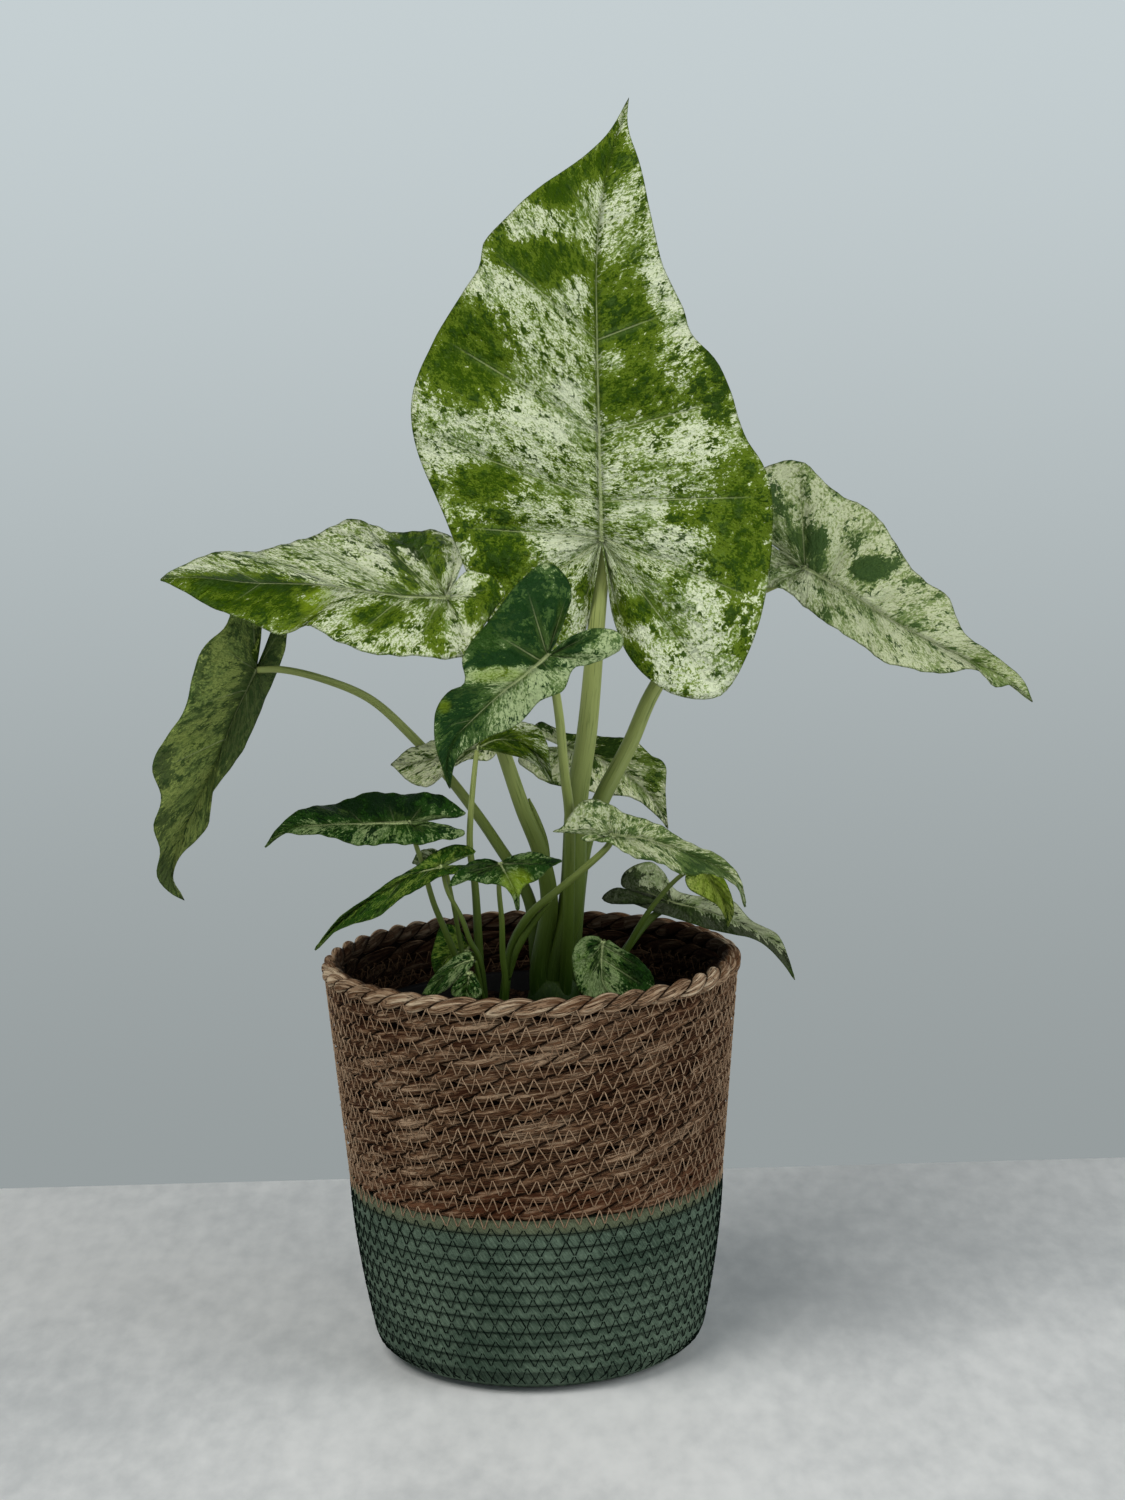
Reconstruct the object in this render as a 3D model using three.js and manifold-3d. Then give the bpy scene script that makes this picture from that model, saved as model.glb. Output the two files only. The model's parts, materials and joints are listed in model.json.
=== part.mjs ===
// A giant taro with speckled cream and green leaves, in a nursery pot that stands in a basket.
// The basket is sewn from coiled rope: sage-green paper rope below, natural grass rope above.
//
// Millimetres, +Z up. The origin is the centre of the basket's flat underside, on the floor.
// X runs to the viewer's right and Y away from the viewer.

import * as THREE from 'three';
import { mergeVertices } from 'three/addons/utils/BufferGeometryUtils.js';
import ManifoldModule from 'manifold-3d';

const wasm = await ManifoldModule();
wasm.setup();

// Driving dimensions of the basket
const BASKET_HEIGHT = 203;
const RIM_ROPE = 9.6;
const RIM_RADIUS = 105 - RIM_ROPE / 2;
const GREEN_HEIGHT = 92;
const GREEN_ROWS = 11;
const NATURAL_ROWS = 12;
const ROPE_THICKNESS = 8;
const ROW_BULGE = 1.8;
const BASE_RADIUS = 60;
const BASE_CORNER_WIDTH = 20.5;
const BASE_CORNER_HEIGHT = 12;
const INNER_CORNER = 3;
const SHOULDER_RADIUS = 94;
const TOP_RADIUS = 103;
const WALL_CURVE = 1.6;
const AROUND = 32;
const GAP = 0.3;

// The rim rope: full turns of its two strands round the basket, and how deep they part
const RIM_TWISTS = 22;
const RIM_STEPS_PER_TWIST = 5;
const RIM_SIDES = 7;
const RIM_RELIEF = 0.18;

// The nursery pot and the soil inside it
const POT_HEIGHT = 166;
const POT_BASE_RADIUS = 58;
const POT_RIM_RADIUS = 83;
const POT_WALL = 1.6;
const POT_LIP = 3;
const POT_LIP_HEIGHT = 9;
const FLOOR_THICKNESS = 8;
const SOIL_TOP = 166;
const SOIL_DEPTH = 134;
const SOIL_EDGE_DROP = 4;
const SOIL_EDGE_WIDTH = 6;

// The plant
const BLADE = 0.8;
const RIB_ROOT = 2.4;
const RIB_TIP = 1.0;
const RIB_SAMPLES = 60;
const MARGIN_SAMPLES = 80;
const WAVE_SHIFT = 1.3;
const CUP_CURVE = 1.5;
const TIP_FADE = 6;
const STALK_START = 2;
const STALK_STEP = 16;
const FEWEST_STALK_STEPS = 6;
const STALK_SIDES = 7;
const STALK_TAPER = 0.7;
const FOOT_SIDES = 16;

// Leaves and stems are laid out as they are seen from one standing point in front of the pot.
// A point is written [across, up, depth]: where it shows against the upright plane through the
// pot's axis, and how far behind that plane it really lies.
const VIEWPOINT = new THREE.Vector3(0, -1637, 569);

const CREAM = '#c9d0b0';
const PALE_GREEN = '#a9b884';
const LEAF_GREEN = '#4f7a2c';
const DARK_GREEN = '#2f4a2c';
const STEM_GREEN = '#7d8f4e';

// Places on the real plant

function seen(across, up, depth) {
  const onPlane = new THREE.Vector3(across, 0, up);
  const reach = (depth - VIEWPOINT.y) / -VIEWPOINT.y;
  return VIEWPOINT.clone().lerp(onPlane, reach);
}

function smoothLine(points, count) {
  const vectors = points.map((point) => new THREE.Vector3(point[0], point[1], point[2] ?? 0));
  return new THREE.CatmullRomCurve3(vectors, false, 'centripetal').getSpacedPoints(count);
}

function along(line, share) {
  const place = THREE.MathUtils.clamp(share, 0, 1) * (line.length - 1);
  const step = Math.min(Math.floor(place), line.length - 2);
  return line[step].clone().lerp(line[step + 1], place - step);
}

// Closed solids

function solidFrom(positions, triangles) {
  const geometry = new THREE.BufferGeometry();
  geometry.setAttribute('position', new THREE.Float32BufferAttribute(positions, 3));
  geometry.setIndex(triangles);
  return geometry;
}

function toManifold(geometry) {
  const bare = geometry.clone();
  bare.deleteAttribute('normal');
  bare.deleteAttribute('uv');
  const merged = mergeVertices(bare, 1e-4);
  return new wasm.Manifold(new wasm.Mesh({
    numProp: 3,
    vertProperties: new Float32Array(merged.attributes.position.array),
    triVerts: new Uint32Array(merged.index.array),
  }));
}

function fromManifold(solid) {
  const mesh = solid.getMesh();
  return solidFrom(Array.from(mesh.vertProperties), Array.from(mesh.triVerts));
}

function biggestPiece(solid) {
  const pieces = solid.decompose();
  return pieces.reduce((best, piece) => (piece.volume() > best.volume() ? piece : best));
}

// A leaf blade. Rows run from the midrib out to the margin, as the side veins do: the first
// ones fan out from the junction with the stalk into the lobe behind it.

function bladeRows(leaf) {
  const fan = Math.round(leaf.rows * leaf.fan);
  return Array.from({ length: leaf.rows + 1 }, (_, row) => {
    const share = row / leaf.rows;
    const rib = row <= fan ? 0 : (row - fan) / (leaf.rows - fan);
    return { share, rib, fanned: row <= fan };
  });
}

function bladeSheet(leaf) {
  const rows = bladeRows(leaf);
  const ribLine = smoothLine(leaf.rib, RIB_SAMPLES);
  const points = [];
  const girth = [];
  const out = [];
  const reach = [];
  const triangles = [];

  function addPoint(point, thickness, sideways, lengthways) {
    points.push(point);
    girth.push(thickness);
    out.push(sideways);
    reach.push(lengthways);
    return points.length - 1;
  }

  const ribPoints = rows.map((row, index) => {
    if (row.fanned && index > 0) return 0;
    const place = along(ribLine, row.rib);
    const thickness = THREE.MathUtils.lerp(RIB_ROOT, RIB_TIP, row.rib);
    return addPoint(seen(place.x, place.y, place.z), thickness, 0, row.rib);
  });
  const tip = ribPoints[ribPoints.length - 1];

  for (const side of ['left', 'right']) {
    const margin = smoothLine(leaf[side], MARGIN_SAMPLES);
    const [leanAcross, leanUp] = leaf.lean[side];
    const grid = rows.map((row, index) => {
      if (index === rows.length - 1) return Array(leaf.steps + 1).fill(tip);
      const start = along(ribLine, row.rib);
      const end = along(margin, row.share);
      return Array.from({ length: leaf.steps + 1 }, (_, step) => {
        if (step === 0) return ribPoints[index];
        const share = step / leaf.steps;
        const across = THREE.MathUtils.lerp(start.x, end.x, share);
        const up = THREE.MathUtils.lerp(start.y, end.y, share);
        const depth = start.z + leanAcross * (across - start.x) + leanUp * (up - start.y);
        return addPoint(seen(across, up, depth), BLADE, side === 'left' ? share : -share, row.share);
      });
    });
    for (let row = 0; row < rows.length - 1; row += 1) {
      for (let step = 0; step < leaf.steps; step += 1) {
        const near = grid[row];
        const far = grid[row + 1];
        const quad = [near[step], near[step + 1], far[step + 1], far[step]];
        if (side === 'right') quad.reverse();
        addTriangle(triangles, quad[0], quad[1], quad[2]);
        addTriangle(triangles, quad[0], quad[2], quad[3]);
      }
    }
  }
  return { points, girth, out, reach, triangles };
}

function addTriangle(triangles, a, b, c) {
  if (a !== b && b !== c && c !== a) triangles.push(a, b, c);
}

function sheetNormals(points, triangles) {
  const normals = points.map(() => new THREE.Vector3());
  for (let index = 0; index < triangles.length; index += 3) {
    const [a, b, c] = triangles.slice(index, index + 3);
    const edge = points[b].clone().sub(points[a]);
    const face = edge.cross(points[c].clone().sub(points[a]));
    for (const corner of [a, b, c]) normals[corner].add(face);
  }
  return normals.map((normal) => normal.normalize());
}

// The flat layout gets its form: the margins lift or droop, the space between two side veins
// bulges, and the margin waves. All of it moves points along the blade's own direction.
function shapeSheet(sheet, leaf) {
  const facing = new THREE.Vector3();
  for (const normal of sheetNormals(sheet.points, sheet.triangles)) facing.add(normal);
  facing.normalize();
  if (facing.y > 0) facing.negate();
  sheet.points.forEach((point, index) => {
    const sideways = Math.abs(sheet.out[index]);
    const lengthways = sheet.reach[index];
    const sign = Math.sign(sheet.out[index]);
    const fade = 1 - lengthways ** TIP_FADE;
    const cup = leaf.cup * sideways ** CUP_CURVE * fade;
    const turn = 2 * Math.PI * leaf.waves * lengthways + (sign > 0 ? 0 : WAVE_SHIFT);
    const wave = leaf.wave * Math.sin(turn) * sideways ** 2 * fade;
    const between = Math.sin(Math.PI * leaf.veins * lengthways) ** 2;
    const quilt = leaf.quilt * between * Math.sin(Math.PI * Math.min(sideways, 1)) * fade;
    point.addScaledVector(facing, cup + wave + quilt);
  });
  return sheet;
}

// The edges of a sheet that only one triangle uses, in that triangle's direction.
function openEdges(triangles) {
  const edges = new Map();
  for (let index = 0; index < triangles.length; index += 3) {
    const corners = triangles.slice(index, index + 3);
    corners.forEach((from, place) => {
      const to = corners[(place + 1) % 3];
      if (!edges.delete(`${to} ${from}`)) edges.set(`${from} ${to}`, [from, to]);
    });
  }
  return [...edges.values()];
}

// A blade's solid. With extra it is that much thicker and reaches half of it past the margin,
// to cut a neighbour clear of the blade.
function thickenSheet(sheet, extra = 0) {
  const normals = sheetNormals(sheet.points, sheet.triangles);
  const edges = openEdges(sheet.triangles);
  const outward = sheet.points.map(() => new THREE.Vector3());
  for (const [from, to] of edges) {
    const along = sheet.points[to].clone().sub(sheet.points[from]);
    outward[from].add(along.clone().cross(normals[from]));
    outward[to].add(along.cross(normals[to]));
  }
  const count = sheet.points.length;
  const positions = [];
  for (const side of [0.5, -0.5]) {
    sheet.points.forEach((point, index) => {
      const place = point.clone();
      place.addScaledVector(normals[index], side * (sheet.girth[index] + extra));
      place.addScaledVector(outward[index].normalize(), extra / 2);
      positions.push(...place.toArray());
    });
  }
  const triangles = [...sheet.triangles];
  for (let index = 0; index < sheet.triangles.length; index += 3) {
    const [a, b, c] = sheet.triangles.slice(index, index + 3);
    triangles.push(a + count, c + count, b + count);
  }
  for (const [from, to] of edges) {
    triangles.push(from, from + count, to + count);
    triangles.push(from, to + count, to);
  }
  return solidFrom(positions, triangles);
}

// A stalk: a round tube through its points, thick at the root and thin at the blade.
function stalk(places, rootRadius, endRadius, sides) {
  const curve = new THREE.CatmullRomCurve3(places, false, 'centripetal');
  const steps = Math.max(FEWEST_STALK_STEPS, Math.round(curve.getLength() / STALK_STEP));
  const frames = curve.computeFrenetFrames(steps, false);
  const positions = [];
  const triangles = [];
  for (let step = 0; step <= steps; step += 1) {
    const share = step / steps;
    const centre = curve.getPointAt(share);
    const radius = THREE.MathUtils.lerp(rootRadius, endRadius, share ** STALK_TAPER);
    for (let side = 0; side < sides; side += 1) {
      const angle = (2 * Math.PI * side) / sides;
      const spoke = frames.normals[step].clone().multiplyScalar(Math.cos(angle) * radius);
      spoke.addScaledVector(frames.binormals[step], Math.sin(angle) * radius);
      positions.push(...centre.clone().add(spoke).toArray());
    }
  }
  for (let step = 0; step < steps; step += 1) {
    for (let side = 0; side < sides; side += 1) {
      const next = (side + 1) % sides;
      const low = step * sides;
      const high = low + sides;
      triangles.push(low + side, low + next, high + next);
      triangles.push(low + side, high + next, high + side);
    }
  }
  const last = steps * sides;
  for (let side = 1; side < sides - 1; side += 1) {
    triangles.push(0, side + 1, side);
    triangles.push(last, last + side, last + side + 1);
  }
  return toManifold(solidFrom(positions, triangles));
}

// The shoulder of a foot, in shares of its radius and height
const FOOT_SHOULDER = [[1, 0.4], [0.8, 0.8]];

// The swollen foot that a group of stalks grows from, standing in the soil.
function shootFoot(foot) {
  const buried = SOIL_TOP - foot.depth;
  const outline = [
    [0, buried],
    [foot.radius, buried],
    ...FOOT_SHOULDER.map(([out, up]) => [foot.radius * out, SOIL_TOP + foot.height * up]),
    [0, SOIL_TOP + foot.height],
  ];
  const solid = new THREE.LatheGeometry(outline.map(([x, y]) => new THREE.Vector2(x, y)), FOOT_SIDES);
  solid.rotateX(Math.PI / 2);
  return toManifold(solid).translate(foot.x, foot.y, 0);
}

const MAIN_FOOT = { x: 11, y: -2, radius: 14.5, depth: 22, height: 26 };
const FRONT_FOOT = { x: -21, y: -43, radius: 12, depth: 16, height: 12 };
const RIGHT_FOOT = { x: 37, y: -14, radius: 6.5, depth: 14, height: 10 };

// Blades: the midrib with its depth, and each margin from the notch behind the stalk round the
// lobe to the tip. "left" and "right" are as seen from the viewpoint, along the upper or the
// lower edge for a blade that lies across. lean says how much deeper the blade gets for each
// millimetre across and up from the midrib.

const BLADE_FORM = {
  rows: 13, steps: 3, fan: 0.35, cup: 0, wave: 1.5, waves: 4, veins: 6, quilt: 0.6,
};

const LEAVES = [
  {
    name: 'blade_main_upright',
    colour: CREAM,
    rib: [[40, 409, 12], [40, 453, 16], [40, 502, 22], [41, 550, 34], [47, 588, 48], [58, 622, 62]],
    left: [
      [35, 401], [34, 377], [27, 356], [10, 351], [-13, 364], [-25, 391], [-38, 426], [-50, 459],
      [-51, 481], [-39, 510], [-25, 531], [-16, 544], [-14, 555], [-4, 566], [11, 579], [33, 593],
      [48, 606], [58, 622],
    ],
    right: [
      [42, 400], [45, 372], [54, 349], [73, 332], [97, 330], [111, 350], [123, 392], [123, 437],
      [111, 461], [105, 481], [97, 497], [86, 509], [83, 521], [73, 542], [68, 564], [63, 590],
      [57, 609], [58, 622],
    ],
    lean: { left: [0.08, 0.2], right: [-0.05, 0.2] },
    rows: 26,
    steps: 5,
    cup: -5,
    wave: 2.5,
    waves: 6,
    veins: 8,
    quilt: 2.2,
  },
  {
    name: 'blade_left_level',
    colour: CREAM,
    rib: [
      [-37, 382, -22], [-56, 383, -23], [-82, 387, -26], [-102, 390, -29], [-135, 392, -34],
      [-158, 395, -38], [-177, 395, -42],
    ],
    left: [
      [-34, 386], [-30, 395], [-26, 405], [-27, 409], [-36, 414], [-55, 415], [-82, 421], [-95, 418],
      [-118, 409], [-143, 408], [-160, 404], [-172, 399], [-177, 395],
    ],
    right: [
      [-32, 384], [-30, 390], [-26, 395], [-18, 395], [-10, 390], [-8, 382], [-14, 374], [-22, 363],
      [-30, 354], [-45, 352], [-70, 356],
      [-93, 362], [-107, 371], [-117, 367], [-143, 376], [-164, 388], [-177, 395],
    ],
    lean: { left: [0, 2.4], right: [0, 1.2] },
    rows: 22,
    steps: 4,
    wave: 1.5,
    waves: 5,
    veins: 7,
    quilt: 1.6,
  },
  {
    name: 'blade_front_dark',
    colour: DARK_GREEN,
    rib: [
      [12, 352, -70], [1, 343, -77], [-10, 335, -84], [-24, 323, -92], [-35, 312, -97],
      [-40, 299, -99], [-38, 287, -98],
    ],
    left: [
      [16, 358], [22, 373], [25, 384], [20, 395], [12, 398], [-1, 389], [-15, 372], [-30, 352],
      [-29, 340], [-37, 336], [-44, 326], [-45, 312], [-42, 299], [-38, 287],
    ],
    right: [
      [17, 356], [25, 362], [39, 366], [49, 361], [48, 354], [33, 348], [25, 346], [19, 334],
      [8, 330], [-4, 318], [-25, 309], [-34, 302], [-38, 287],
    ],
    lean: { left: [0, 0.8], right: [0.3, 0.3] },
    rows: 20,
    steps: 4,
    fan: 0.4,
    wave: 1.5,
    quilt: 1.2,
  },
  {
    name: 'blade_right_drooping',
    colour: CREAM,
    rib: [
      [140, 392, 62], [160, 380, 58], [178, 368, 52], [198, 356, 44], [218, 346, 36], [233, 338, 30],
      [252, 323, 24],
    ],
    left: [
      [137, 396], [124, 405], [109, 417], [108, 434], [123, 444], [136, 446], [152, 432], [170, 422],
      [182, 407], [200, 383], [210, 376], [219, 358], [236, 344], [247, 335], [252, 323],
    ],
    right: [
      [136, 393], [124, 402], [112, 410], [103, 403], [110, 384], [128, 382], [140, 374], [153, 362],
      [171, 352],
      [179, 344], [208, 339], [225, 339], [233, 331], [242, 332], [252, 323],
    ],
    lean: { left: [0, 0.8], right: [0, 0.8] },
    rows: 22,
    steps: 4,
    wave: 1.8,
    waves: 6,
    quilt: 1.4,
  },
  {
    name: 'blade_back_pale',
    colour: CREAM,
    rib: [[20, 306, 58], [37, 300, 60], [49, 292, 60], [60, 282, 58], [66, 273, 55], [70, 264, 52]],
    left: [
      [15, 309], [3, 314], [8, 320], [20, 313], [36, 312], [54, 308], [62, 302], [69, 297], [69, 284],
      [70, 264],
    ],
    right: [
      [15, 304], [2, 306], [-4, 300], [5, 292], [17, 287], [36, 283], [56, 278], [66, 269], [70, 264],
    ],
    lean: { left: [0, 0.8], right: [0, 0.8] },
  },
  {
    name: 'blade_low_right',
    colour: PALE_GREEN,
    rib: [
      [42, 261, -52], [61, 258, -56], [81, 250, -62], [95, 243, -66], [104, 236, -70], [108, 223, -71],
    ],
    left: [
      [37, 263], [24, 264], [12, 265], [17, 267], [26, 277], [36, 279], [55, 270], [83, 256],
      [100, 245], [106, 237], [108, 223],
    ],
    right: [
      [38, 260], [31, 262], [26, 261], [36, 258], [48, 253], [62, 247], [75, 242], [93, 239],
      [103, 235], [108, 223],
    ],
    lean: { left: [0, 0.8], right: [0, 1.4] },
    rows: 15,
  },
  {
    name: 'blade_left_hanging',
    colour: PALE_GREEN,
    rib: [
      [-132, 349, 8], [-143, 328, 12], [-152, 307, 16], [-162, 287, 20], [-174, 263, 22],
      [-178, 245, 22], [-172, 234, 20],
    ],
    left: [
      [-135, 356], [-128, 373], [-130, 388], [-139, 389], [-145, 373], [-158, 360], [-168, 330],
      [-179, 315], [-185, 301], [-181, 286], [-186, 272], [-183, 260], [-185, 246], [-179, 238],
      [-172, 234],
    ],
    right: [
      [-129, 354], [-122, 371], [-115, 378], [-116, 366], [-120, 352], [-129, 331], [-144, 303],
      [-157, 285], [-159, 272], [-175, 253], [-177, 242], [-172, 234],
    ],
    lean: { left: [0.6, 0], right: [0.6, 0] },
    rows: 20,
    wave: 1.5,
  },
  {
    name: 'blade_centre_green',
    colour: LEAF_GREEN,
    rib: [[-24, 307, -30], [-13, 311, -32], [0, 308, -34], [7, 300, -35], [13, 288, -36]],
    left: [[-22, 311], [-17, 317], [-4, 320], [6, 317], [11, 308], [12, 298], [13, 288]],
    right: [[-21, 306], [-13, 306], [-3, 302], [5, 298], [9, 293], [13, 288]],
    lean: { left: [0, 0.8], right: [0, 0.8] },
    rows: 10,
    wave: 0.6,
  },
  {
    name: 'blade_right_small',
    colour: LEAF_GREEN,
    rib: [[86, 245, -22], [92, 236, -24], [97, 227, -26], [99, 213, -27]],
    left: [[83, 246], [78, 239], [80, 233], [88, 228], [94, 224], [97, 219], [99, 213]],
    right: [[90, 246], [96, 240], [101, 229], [102, 220], [99, 213]],
    lean: { left: [0.3, 0.3], right: [-0.3, 0.3] },
    rows: 9,
    wave: 0.5,
  },
  {
    name: 'blade_right_over_rim',
    colour: PALE_GREEN,
    rib: [[70, 226, 6], [85, 222, 4], [105, 214, 2], [119, 206, 0], [127, 197, -2], [132, 185, -4]],
    left: [
      [66, 229], [55, 232], [46, 236], [48, 243], [61, 247], [67, 242], [73, 233], [85, 229],
      [102, 226], [111, 216], [124, 208], [129, 197], [132, 185],
    ],
    right: [
      [66, 226], [55, 231], [44, 235], [36, 229], [42, 226], [49, 227], [67, 220], [88, 213],
      [102, 209], [113, 206], [119, 202], [126, 194], [132, 185],
    ],
    lean: { left: [0, 0.8], right: [0, 0.8] },
    rows: 16,
    wave: 0.8,
  },
  {
    name: 'blade_in_pot_right',
    colour: PALE_GREEN,
    rib: [[36, 207, -58], [35, 197, -61], [36, 185, -64], [43, 176, -66]],
    left: [[34, 210], [27, 210], [21, 203], [21, 194], [24, 182], [32, 177], [43, 176]],
    right: [[39, 208], [46, 203], [55, 197], [61, 188], [61, 181], [54, 177], [43, 176]],
    lean: { left: [0.2, 0.2], right: [0.3, 0.3] },
    rows: 10,
    wave: 0.6,
  },
  {
    name: 'blade_in_pot_left_yellow',
    colour: LEAF_GREEN,
    rib: [[-31, 205, -29], [-39, 203, -31], [-45, 197, -33], [-48, 192, -34]],
    left: [[-32, 209], [-37, 217], [-44, 218], [-48, 209], [-50, 200], [-48, 192]],
    right: [[-32, 202], [-36, 197], [-42, 194], [-48, 192]],
    lean: { left: [0, 0.5], right: [0, 0.5] },
    rows: 8,
    steps: 2,
    wave: 0.3,
  },
  {
    name: 'blade_in_pot_left_striped',
    colour: DARK_GREEN,
    rib: [[-29, 200, -58], [-37, 197, -62], [-46, 190, -66], [-55, 183, -70]],
    left: [[-30, 204], [-36, 203], [-44, 197], [-50, 191], [-55, 183]],
    right: [[-29, 197], [-34, 192], [-41, 186], [-49, 182], [-55, 183]],
    lean: { left: [0, 0.6], right: [0, 0.6] },
    rows: 8,
    steps: 2,
    wave: 0.3,
  },
  {
    name: 'blade_in_pot_left_pale',
    colour: PALE_GREEN,
    rib: [[-31, 193, -66], [-32, 187, -68], [-34, 180, -69]],
    left: [[-34, 192], [-40, 186], [-40, 182], [-34, 180]],
    right: [[-28, 191], [-25, 183], [-27, 180], [-34, 180]],
    lean: { left: [0, 0.4], right: [0, 0.4] },
    rows: 7,
    steps: 2,
    wave: 0.3,
  },
  {
    name: 'blade_low_left_dark',
    colour: DARK_GREEN,
    rib: [
      [-59, 270, -46], [-78, 270, -50], [-98, 270, -54], [-116, 269, -57], [-125, 265, -58],
      [-131, 260, -58],
    ],
    left: [
      [-56, 272], [-41, 273], [-30, 275], [-35, 279], [-47, 284], [-66, 286], [-95, 282],
      [-116, 276], [-125, 269], [-131, 260],
    ],
    right: [
      [-56, 268], [-43, 270], [-31, 265], [-34, 261], [-47, 261], [-73, 259], [-95, 263],
      [-112, 266], [-123, 267], [-131, 260],
    ],
    lean: { left: [0, 1.3], right: [0, 1.3] },
    rows: 15,
  },
  {
    name: 'blade_low_left_narrow',
    colour: LEAF_GREEN,
    rib: [
      [-44, 247, -58], [-54, 245, -62], [-66, 239, -66], [-85, 229, -70], [-97, 218, -73],
      [-108, 207, -75],
    ],
    left: [
      [-41, 250], [-33, 252], [-26, 255], [-33, 259], [-44, 256], [-57, 248], [-75, 237],
      [-95, 223], [-104, 213], [-108, 207],
    ],
    right: [
      [-41, 246], [-33, 248], [-29, 248], [-36, 244], [-45, 242], [-62, 233], [-77, 223],
      [-98, 216], [-108, 207],
    ],
    lean: { left: [0, 1.0], right: [0, 1.0] },
    rows: 14,
    wave: 0.8,
  },
  {
    name: 'blade_low_front',
    colour: LEAF_GREEN,
    rib: [[-14, 248, -72], [-11, 242, -78], [-8, 236, -84], [-6, 231, -88], [-6, 224, -89]],
    left: [
      [-17, 250], [-29, 250], [-40, 238], [-31, 240], [-24, 239], [-16, 238], [-10, 234], [-6, 224],
    ],
    right: [
      [-11, 250], [-2, 254], [8, 252], [17, 249], [10, 245], [3, 239], [-3, 236], [-5, 231],
      [-6, 224],
    ],
    lean: { left: [0, 1.6], right: [0, 1.6] },
    rows: 12,
    fan: 0.5,
    wave: 0.6,
  },
  {
    name: 'blade_behind_narrow',
    colour: CREAM,
    rib: [[-42, 252, -42], [-50, 252, -42], [-58, 250, -42]],
    left: [[-42, 255], [-49, 257], [-55, 255], [-58, 250]],
    right: [[-43, 249], [-51, 247], [-58, 250]],
    lean: { left: [0, 0.8], right: [0, 0.8] },
    rows: 7,
    steps: 2,
    wave: 0.3,
  },
  {
    name: 'blade_left_pale',
    colour: CREAM,
    rib: [[-13, 310, 24], [-28, 306, 22], [-42, 303, 20], [-55, 300, 18], [-67, 300, 16]],
    left: [[-15, 314], [-27, 316], [-46, 311], [-54, 309], [-60, 306], [-67, 300]],
    right: [[-11, 307], [-19, 301], [-30, 301], [-40, 296], [-48, 289], [-55, 289], [-67, 300]],
    lean: { left: [0, 0.9], right: [0, 0.9] },
    rows: 11,
    wave: 0.8,
  },
];

// Stalks: the start beside the foot's middle, then [across, up, depth] points to the blade, and
// the radius at the root and at the blade.

const MAIN_STALKS = [
  {
    // carries blade_main_upright
    start: [1, -1],
    points: [
      [12, 191, -4], [21, 228, -4], [25, 279, 0], [31, 315, 4], [37, 370, 10], [40, 399, 16],
      [40, 407, 14],
    ],
    root: 8,
    end: 3.8,
    sides: 10,
  },
  {
    // carries blade_front_dark
    start: [4, -6],
    points: [
      [18, 199, -12], [20, 239, -20], [21, 272, -32], [19, 294, -46], [17, 323, -59],
      [14, 344, -66], [12, 351, -68],
    ],
    root: 3.6,
    end: 2,
  },
  {
    // carries blade_right_drooping
    start: [6, 2],
    points: [
      [19, 191, 2], [28, 258, 10], [38, 281, 18], [52, 307, 32], [64, 333, 46], [83, 359, 58],
      [113, 380, 72], [139, 391, 66],
    ],
    root: 6,
    end: 3,
  },
  {
    // carries blade_left_level
    start: [-5, -3],
    points: [
      [4, 191, -6], [10, 229, -8], [6, 254, -10], [-2, 276, -12], [-11, 305, -14],
      [-22, 338, -17], [-33, 370, -20], [-37, 380, -20],
    ],
    root: 5.5,
    end: 2.8,
    sides: 8,
  },
  {
    // carries blade_left_hanging
    start: [-6, 3],
    points: [
      [3, 199, 3], [0, 230, 8], [-16, 260, 20], [-37, 291, 32], [-57, 315, 34], [-76, 333, 28],
      [-100, 344, 14], [-120, 349, 4], [-131, 349, 5],
    ],
    root: 4,
    end: 1.7,
  },
  {
    // carries blade_left_pale
    start: [-4, 4],
    points: [
      [7, 199, 3], [9, 229, 5], [5, 254, 9], [-3, 280, 16], [-11, 303, 26], [-13, 309, 25],
    ],
    root: 3,
    end: 1.4,
  },
  {
    // carries blade_back_pale
    start: [4, 6],
    points: [
      [18, 199, 8], [22, 229, 14], [22, 255, 28], [20, 282, 48], [19, 300, 62], [20, 305, 60],
    ],
    root: 3,
    end: 1.5,
  },
];

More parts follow.
